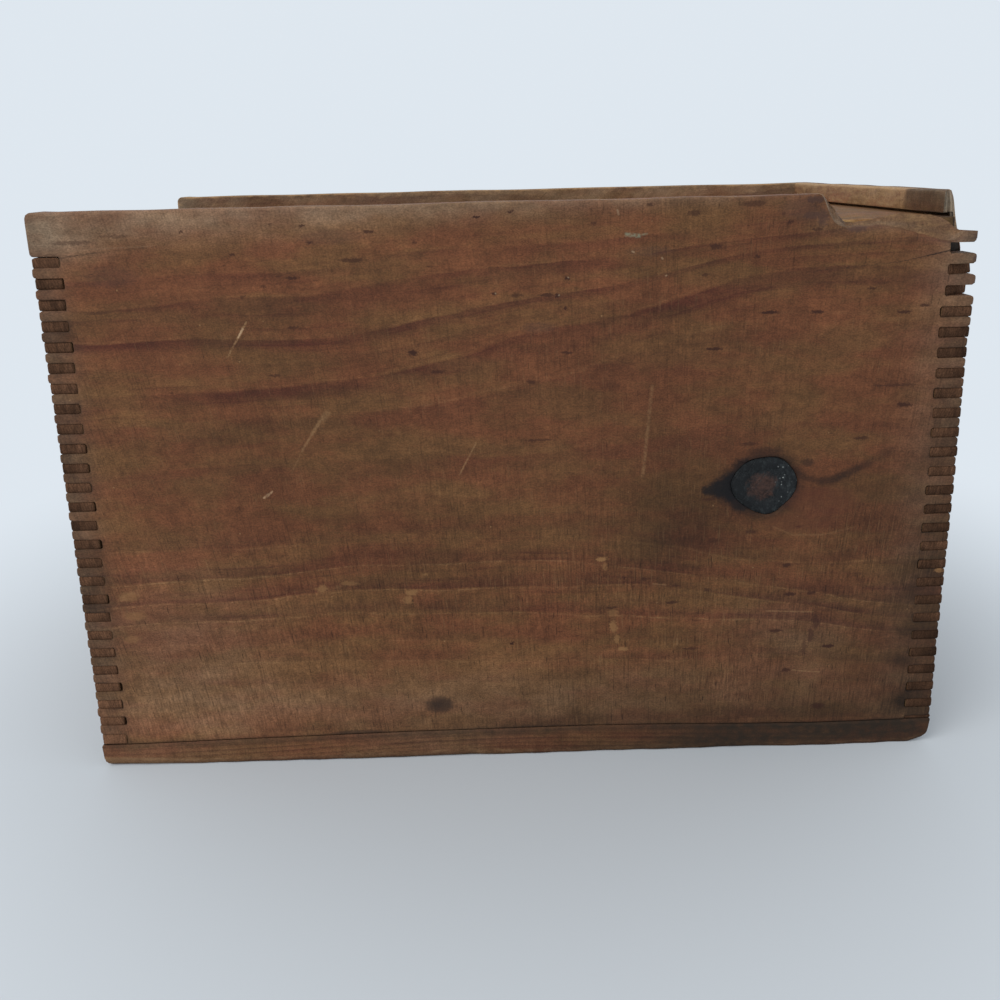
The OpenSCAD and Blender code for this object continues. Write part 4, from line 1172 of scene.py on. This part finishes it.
# lid: x along, y across, depth down from its top
lid = {
    "early": (115, 80, 46), "late": (94, 60, 36), "bare": (160, 126, 84), "dirt": (52, 38, 28),
    "cut": (92, 70, 50), "grey": (126, 101, 74), "dash": 0.6, "saw": 0.6, "bump": 0.4, "shine": 0.1,
    "fan": (-30.0, -900.0, 0.0015),
    "left": -152.5, "right": 147.4, "halfY": 90.9, "top": 190.0, "thick": 5.9,
    "edgeDrop": 0.9, "bevel": 16.0, "thumbX": -125.5, "thumbR": 13.0, "thumbDeep": 2.4, "cornerR": 7.0,
    # the fine part of the grid, round the thumb recess
    "fineX": (-140, -111), "fineY": 15, "fineStep": 0.7,
}
lidMaterial = pineMaterial("lid_pine", lid)
rims = np.array([0.3, 0.8, 1.5])
sLines = gridLines(lid["left"], lid["right"], 3.0, [lid["right"] - lid["bevel"]], [-0.5, 0.5])
fineLow, fineHigh = lid["fineX"]
coarse = sLines[(sLines < fineLow) | (sLines > fineHigh)]
fine = np.arange(fineLow, fineHigh + 0.5, lid["fineStep"])
sLines = np.concatenate([coarse, fine, lid["left"] + rims, lid["right"] - rims])
bevels = [-lid["halfY"] + lid["bevel"], lid["halfY"] - lid["bevel"]]
hLines = gridLines(-lid["halfY"], lid["halfY"], 3.0, bevels, [-0.5, 0.5])
coarse = hLines[np.abs(hLines) > lid["fineY"]]
fine = np.arange(0.3 - lid["fineY"], lid["fineY"], lid["fineStep"])
hLines = np.concatenate([coarse, fine, -lid["halfY"] + rims, lid["halfY"] - rims])
sLines, hLines = np.unique(np.round(sLines, 3)), np.unique(np.round(hLines, 3))
s, h = np.meshgrid(sLines, hLines, indexing="ij")
rightGap, leftGap, sideGap = lid["right"] - s, s - lid["left"], lid["halfY"] - np.abs(h)
bevelGap = np.minimum(rightGap, sideGap)
slope = lid["edgeDrop"] * np.clip(1 - bevelGap / lid["bevel"], 0, 1)
ramp = lid["thumbDeep"] * (lid["thumbX"] + lid["thumbR"] - s) / (2 * lid["thumbR"])
thumb = ramp * spread(np.hypot(s - lid["thumbX"], h), lid["thumbR"] + 0.2, lid["thumbR"] - 0.7)
edgeGap = np.minimum(np.minimum(rightGap, leftGap), sideGap)
topDrop = 0.03 + slope + thumb + rimDrop(edgeGap, 0.7) + 0.05 * (1 + ripples(s, h, 60, 51))
roundS, roundH = s, h
for corner in (-lid["halfY"], lid["halfY"]):
    roundS, roundH = roundCorner(roundS, roundH, lid["right"], corner, lid["cornerR"])
worn = 0.4 * spread(leftGap, 2, 0) * np.maximum(0.5 + 0.5 * ripples(h, 0 * h, 30, 52), 0)
over = np.stack([roundS + worn, roundH, topDrop], -1)
below = np.stack([roundS, roundH, lid["thick"] - 0.03 - rimDrop(edgeGap, 0.5)], -1)
made = plate(over, below, np.ones((len(sLines) - 1, len(hLines) - 1), bool), [0.15, 0.5, 0.85])
x, y, deep = made["points"].T
edge = edgeGap.ravel()[made["node"]]
bevelled = slope.ravel()[made["node"]]
facing = (made["level"] < 0.5).astype(float)
thumbed = thumb.ravel()[made["node"]] * facing
ringLines = np.array([-20, -8, 0, 7, 11, 19, 24, 33, 41, 47, 58, 66, 74, 79, 88, 97, 104, 113, 121, 130,
                      137, 148, 155, 166, 174, 182, 190, 200, 212])
bow = 16 * np.exp(-((y - 12) / 40) ** 2) * ripples(x, 0 * x, 220, 53)
level = y + 96 + bow + 1.4 * deep + 3 * ripples(x, y, 90, 54)
ring = np.interp(level, ringLines, np.arange(len(ringLines)))
rub = 0.5 * np.exp(-edge / 1.1) * (1 - 0.8 * made["end"] * made["wall"])
rub += facing * (0.16 * (bevelled > 0.05) + 0.1 * (1 + ripples(x, y, 70, 55)))
corner = spread(x, 128, 142) * spread(y, -74, -86)
thumbRim = np.exp(-np.abs(np.hypot(x - lid["thumbX"], y) - lid["thumbR"]) / 0.8)
grime = 0.2 * thumbed + 0.25 * facing * (spread(x, 130, 140) + thumbRim) + 0.6 * corner
endGrain = made["end"] * made["wall"] * 0.8
lift = 0.06 * ripples(x, y, 80, 56) - 0.06 * facing - 0.3 * corner
traits = traitsFrom(ring, 1 - facing, rub, grime, endGrain, lift, 0.08 * facing)
points = np.stack([x, y, lid["top"] - deep], 1)
grain = made["points"] + np.array([0, -900, 0])
piece = putMesh("slidingLid", points, made["quads"], traits, grain, lidMaterial)
finishPiece(piece, "lid", "sliding_lid")

# knot: rings of points round its centre, from the front's middle over the rim to the back's middle
knot = {
    # share of the outline's radius, depth below the front face
    "profile": [(0.0, 0.85), (0.14, 0.7), (0.27, 0.6), (0.38, 0.75), (0.47, 1.0), (0.53, 1.1), (0.6, 0.8),
                (0.72, 0.55), (0.84, 0.6), (0.93, 0.6), (0.99, 0.75), (0.985, 2.4), (0.88, 6.0),
                (0.78, 9.2), (0.72, 9.55), (0.4, 9.6), (0.0, 9.55)],
    "turns": 120,
}


def knotMaterial():
    # bark or core by share of the radius, made uneven by noise
    material, tree, shader = newMaterial("knot_wood")
    place = attribute(tree, "grainPlace", True)
    share = attribute(tree, "share")
    # a black bark ring round a red-brown core, cracked, and resin beads with pale grey painted glints
    rough = noise(tree, stretch(tree, place, 0.45, 0.45, 0.45), 4.0, 0.65)
    uneven = calc(tree, "ADD", share, calc(tree, "MULTIPLY", calc(tree, "SUBTRACT", rough, 0.5), 0.7))
    # the core lies low and to the left
    uneven = calc(tree, "ADD", uneven, vectors(tree, "DOT_PRODUCT", place, (0.014, 0.011, 0.0)))
    core = ease(tree, uneven, 0.3, 0.52, 0.85, 0.0)
    scale = noise(tree, stretch(tree, place, 0.7, 0.5, 0.7), 5.0, 0.7, 3.0)
    side = put(tree, "ShaderNodeSeparateXYZ", [place]).outputs[0]
    bark = mix(tree, ease(tree, scale, 0.46, 0.78), linear(14, 17, 19), linear(48, 53, 54))
    bark = gain(tree, bark, ease(tree, side, -7.0, 6.0, 0.6, 1.1))
    fine = noise(tree, stretch(tree, place, 0.9, 0.9, 0.9), 3.0, 0.6, 9.0)
    wood = gain(tree, linear(64, 42, 34), ease(tree, fine, 0.3, 0.7, 0.6, 1.35))
    gap = voronoi(tree, stretch(tree, place, 0.2, 0.12, 0.2), "DISTANCE_TO_EDGE")["Distance"]
    gap = calc(tree, "ADD", gap, calc(tree, "MULTIPLY", rough, 0.12))
    crack = ease(tree, gap, 0.05, 0.13, 1.0, 0.0)
    wood = mix(tree, calc(tree, "MULTIPLY", crack, 0.35), wood, linear(28, 21, 19))
    colour = mix(tree, core, bark, wood)
    beads = voronoi(tree, stretch(tree, place, 0.75, 0.75, 0.75))
    chosen = put(tree, "ShaderNodeSeparateColor", [beads["Color"]]).outputs[1]
    beadGlint = ease(tree, beads["Distance"], 0.12, 0.26, 1.0, 0.0)
    beadGlint = calc(tree, "MULTIPLY", beadGlint, ease(tree, chosen, 0.45, 0.7))
    beadGlint = calc(tree, "MULTIPLY", beadGlint, ease(tree, side, 2.0, 5.0))
    # the beads' pale grey is a painted glint; their lower roughness is real shine
    colour = mix(tree, calc(tree, "MULTIPLY", beadGlint, 0.8), colour, linear(150, 152, 150))
    tall = calc(tree, "SUBTRACT", rough, calc(tree, "MULTIPLY", crack, 0.3))
    bump = put(tree, "ShaderNodeBump", {"Strength": 0.6, "Distance": 0.0008, "Height": tall})
    tree.links.new(colour, shader.inputs["Base Color"])
    tree.links.new(bump.outputs[0], shader.inputs["Normal"])
    tree.links.new(ease(tree, beadGlint, 0.0, 0.6, 0.5, 0.2), shader.inputs["Roughness"])
    shader.inputs["Specular IOR Level"].default_value = 0.25
    return material


profile = np.array(knot["profile"])
angle = np.arange(knot["turns"]) * 2 * np.pi / knot["turns"]
inner = profile[1:-1]
far = inner[:, :1] * (knotRadius(angle) + 0.02)[None]
px, pz = far * np.cos(angle), far * np.sin(angle)
pd = inner[:, 1:] + 0.22 * ripples(px, pz, 5, 65) * (inner[:, 1:] < 1.15)
rows = np.stack([px, pz, np.clip(pd, 0.15, 9.6)], -1).reshape(-1, 3)
points = np.concatenate([rows, [[0, 0, profile[0, 1]], [0, 0, profile[-1, 1]]]])
n, m = len(inner), knot["turns"]
idx = np.arange(n * m).reshape(n, m)
turned = np.roll(idx, -1, 1)
quads = np.stack([idx[:-1], idx[1:], turned[1:], turned[:-1]], -1).reshape(-1, 4)
first = np.stack([np.full(m, n * m), idx[0], turned[0], turned[0]], 1)
last = np.stack([np.full(m, n * m + 1), turned[-1], idx[-1], idx[-1]], 1)
quads = np.concatenate([quads, first, last])
share = np.concatenate([np.repeat(inner[:, 0], m), [0, 0]])
place = points.copy()
points = points[:, [0, 2, 1]] + np.array([front["knotX"], -box["halfD"], front["knotZ"]])
piece = putMesh("frontKnot", points, quads, {"share": share}, place, knotMaterial())
finishPiece(piece, "case", "front_knot")


def nailMaterial():
    # steel to rust by one noise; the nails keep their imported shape
    material, tree, shader = newMaterial("nail_steel")
    place = stretch(tree, put(tree, "ShaderNodeTexCoord").outputs["Object"], 1000, 1000, 1000)
    rust = noise(tree, stretch(tree, place, 1.1, 1.1, 1.1), 4.0, 0.65)
    colour = mix(tree, ease(tree, rust, 0.35, 0.65), linear(60, 54, 50), linear(98, 58, 36))
    tree.links.new(colour, shader.inputs["Base Color"])
    tree.links.new(ease(tree, rust, 0.35, 0.65, 0.4, 0.8), shader.inputs["Roughness"])
    tree.links.new(ease(tree, rust, 0.35, 0.6, 0.8, 0.1), shader.inputs["Metallic"])
    bump = put(tree, "ShaderNodeBump", {"Strength": 0.4, "Distance": 0.0002, "Height": rust})
    tree.links.new(bump.outputs[0], shader.inputs["Normal"])
    return material


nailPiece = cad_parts["bottom_nails"]
nailPiece.data.materials.clear()
nailPiece.data.materials.append(nailMaterial())
print("nails painted")

# floor, light and camera
stage = {
    "pale": (0.735, 0.80, 0.865, 1.0), "floor": (0.505, 0.535, 0.57, 1.0),
    "floorR": 9.0, "fadeFrom": 0.13, "fadeTo": 0.5,
    "skyLight": (0.92, 0.97, 1.0, 1.0), "skyStrength": 0.8, "keyPower": 13.0,
    "keyFrom": (-0.8, -0.9, 1.25), "keyTo": (0.0, 0.0, 0.1), "keySize": 1.0, "keyTint": (1.0, 0.98, 0.95),
}


def backdropSeen(tree):
    # 1 for camera, glossy and transmission rays, 0 for the rays that light the object
    rays = put(tree, "ShaderNodeLightPath").outputs
    straight = calc(tree, "MAXIMUM", rays["Is Camera Ray"], rays["Is Glossy Ray"])
    return calc(tree, "MAXIMUM", straight, rays["Is Transmission Ray"])


def floorMaterial():
    # plain near the box, and the backdrop's own colour further off for the rays that show it
    material, tree, shader = newMaterial("paleFloor")
    shader.inputs["Base Color"].default_value = stage["floor"]
    shader.inputs["Roughness"].default_value = 0.85
    shader.inputs["Specular IOR Level"].default_value = 0.1
    place = put(tree, "ShaderNodeTexCoord").outputs["Object"]
    away = vectors(tree, "LENGTH", stretch(tree, place, 1.3, 1.0, 1.0))
    fade = ease(tree, away, stage["fadeFrom"], stage["fadeTo"])
    seen = backdropSeen(tree)
    glow = put(tree, "ShaderNodeEmission", [stage["pale"], 1.0])
    far = calc(tree, "MULTIPLY", fade, seen)
    blend = put(tree, "ShaderNodeMixShader", [far, shader.outputs[0], glow.outputs[0]])
    tree.links.new(blend.outputs[0], tree.nodes["Material Output"].inputs["Surface"])
    return material


def standAt(piece, sideways, upwards, backwards, place):
    # the piece's own axes as columns, then its place
    axes = np.column_stack([sideways, upwards, backwards, place])
    piece.matrix_world = Matrix([*axes.tolist(), [0, 0, 0, 1]])
    bpy.context.scene.collection.objects.link(piece)


turn = np.linspace(0, 2 * np.pi, 64, endpoint=False)
rim = stage["floorR"] * np.stack([np.cos(turn), np.sin(turn), 0 * turn], 1)
floorMesh = bpy.data.meshes.new("floor")
floorMesh.from_pydata(rim.tolist(), [], [list(range(len(turn)))])
floorMesh.materials.append(floorMaterial())
floor = bpy.data.objects.new("floor", floorMesh)
bpy.context.scene.collection.objects.link(floor)

world = bpy.data.worlds.new("studio")
bpy.context.scene.world = world
world.use_nodes = True
tree = world.node_tree
tree.nodes.clear()
seen = backdropSeen(tree)
plain = put(tree, "ShaderNodeBackground", [stage["skyLight"], stage["skyStrength"]])
shown = put(tree, "ShaderNodeBackground", [stage["pale"], 1.0])
both = put(tree, "ShaderNodeMixShader", [seen, plain.outputs[0], shown.outputs[0]])
put(tree, "ShaderNodeOutputWorld", [both.outputs[0]])

key = bpy.data.lights.new("key", "AREA")
key.shape, key.size = "DISK", stage["keySize"]
key.energy, key.color = stage["keyPower"], stage["keyTint"]
keyLamp = bpy.data.objects.new("key", key)
direction = np.array(stage["keyTo"]) - np.array(stage["keyFrom"])
direction = direction / np.linalg.norm(direction)
sideways = np.cross(direction, [0, 0, 1])
sideways = sideways / np.linalg.norm(sideways)
standAt(keyLamp, sideways, np.cross(sideways, direction), -direction, stage["keyFrom"])

# the camera as fitted to the photograph: metres, degrees and millimetres
view = {
    "place": (-0.00981, -0.44615, 0.208), "yaw": 0.837, "pitch": 17.294, "roll": -1.338,
    "lens": 38.547, "sensor": 36.0,
}
yaw, pitch, roll = (math.radians(view[k]) for k in ("yaw", "pitch", "roll"))
ahead = np.array([math.sin(yaw) * math.cos(pitch), math.cos(yaw) * math.cos(pitch), -math.sin(pitch)])
across = np.array([math.cos(yaw), -math.sin(yaw), 0.0])
above = np.cross(across, ahead)
camX = across * math.cos(roll) + above * math.sin(roll)
camY = above * math.cos(roll) - across * math.sin(roll)
camera = bpy.data.cameras.new("camera")
camera.lens, camera.sensor_width = view["lens"], view["sensor"]
cameraPiece = bpy.data.objects.new("camera", camera)
standAt(cameraPiece, camX, camY, -ahead, view["place"])
bpy.context.scene.camera = cameraPiece
bpy.context.scene.view_settings.view_transform = "Standard"
print("floor, light and camera set")
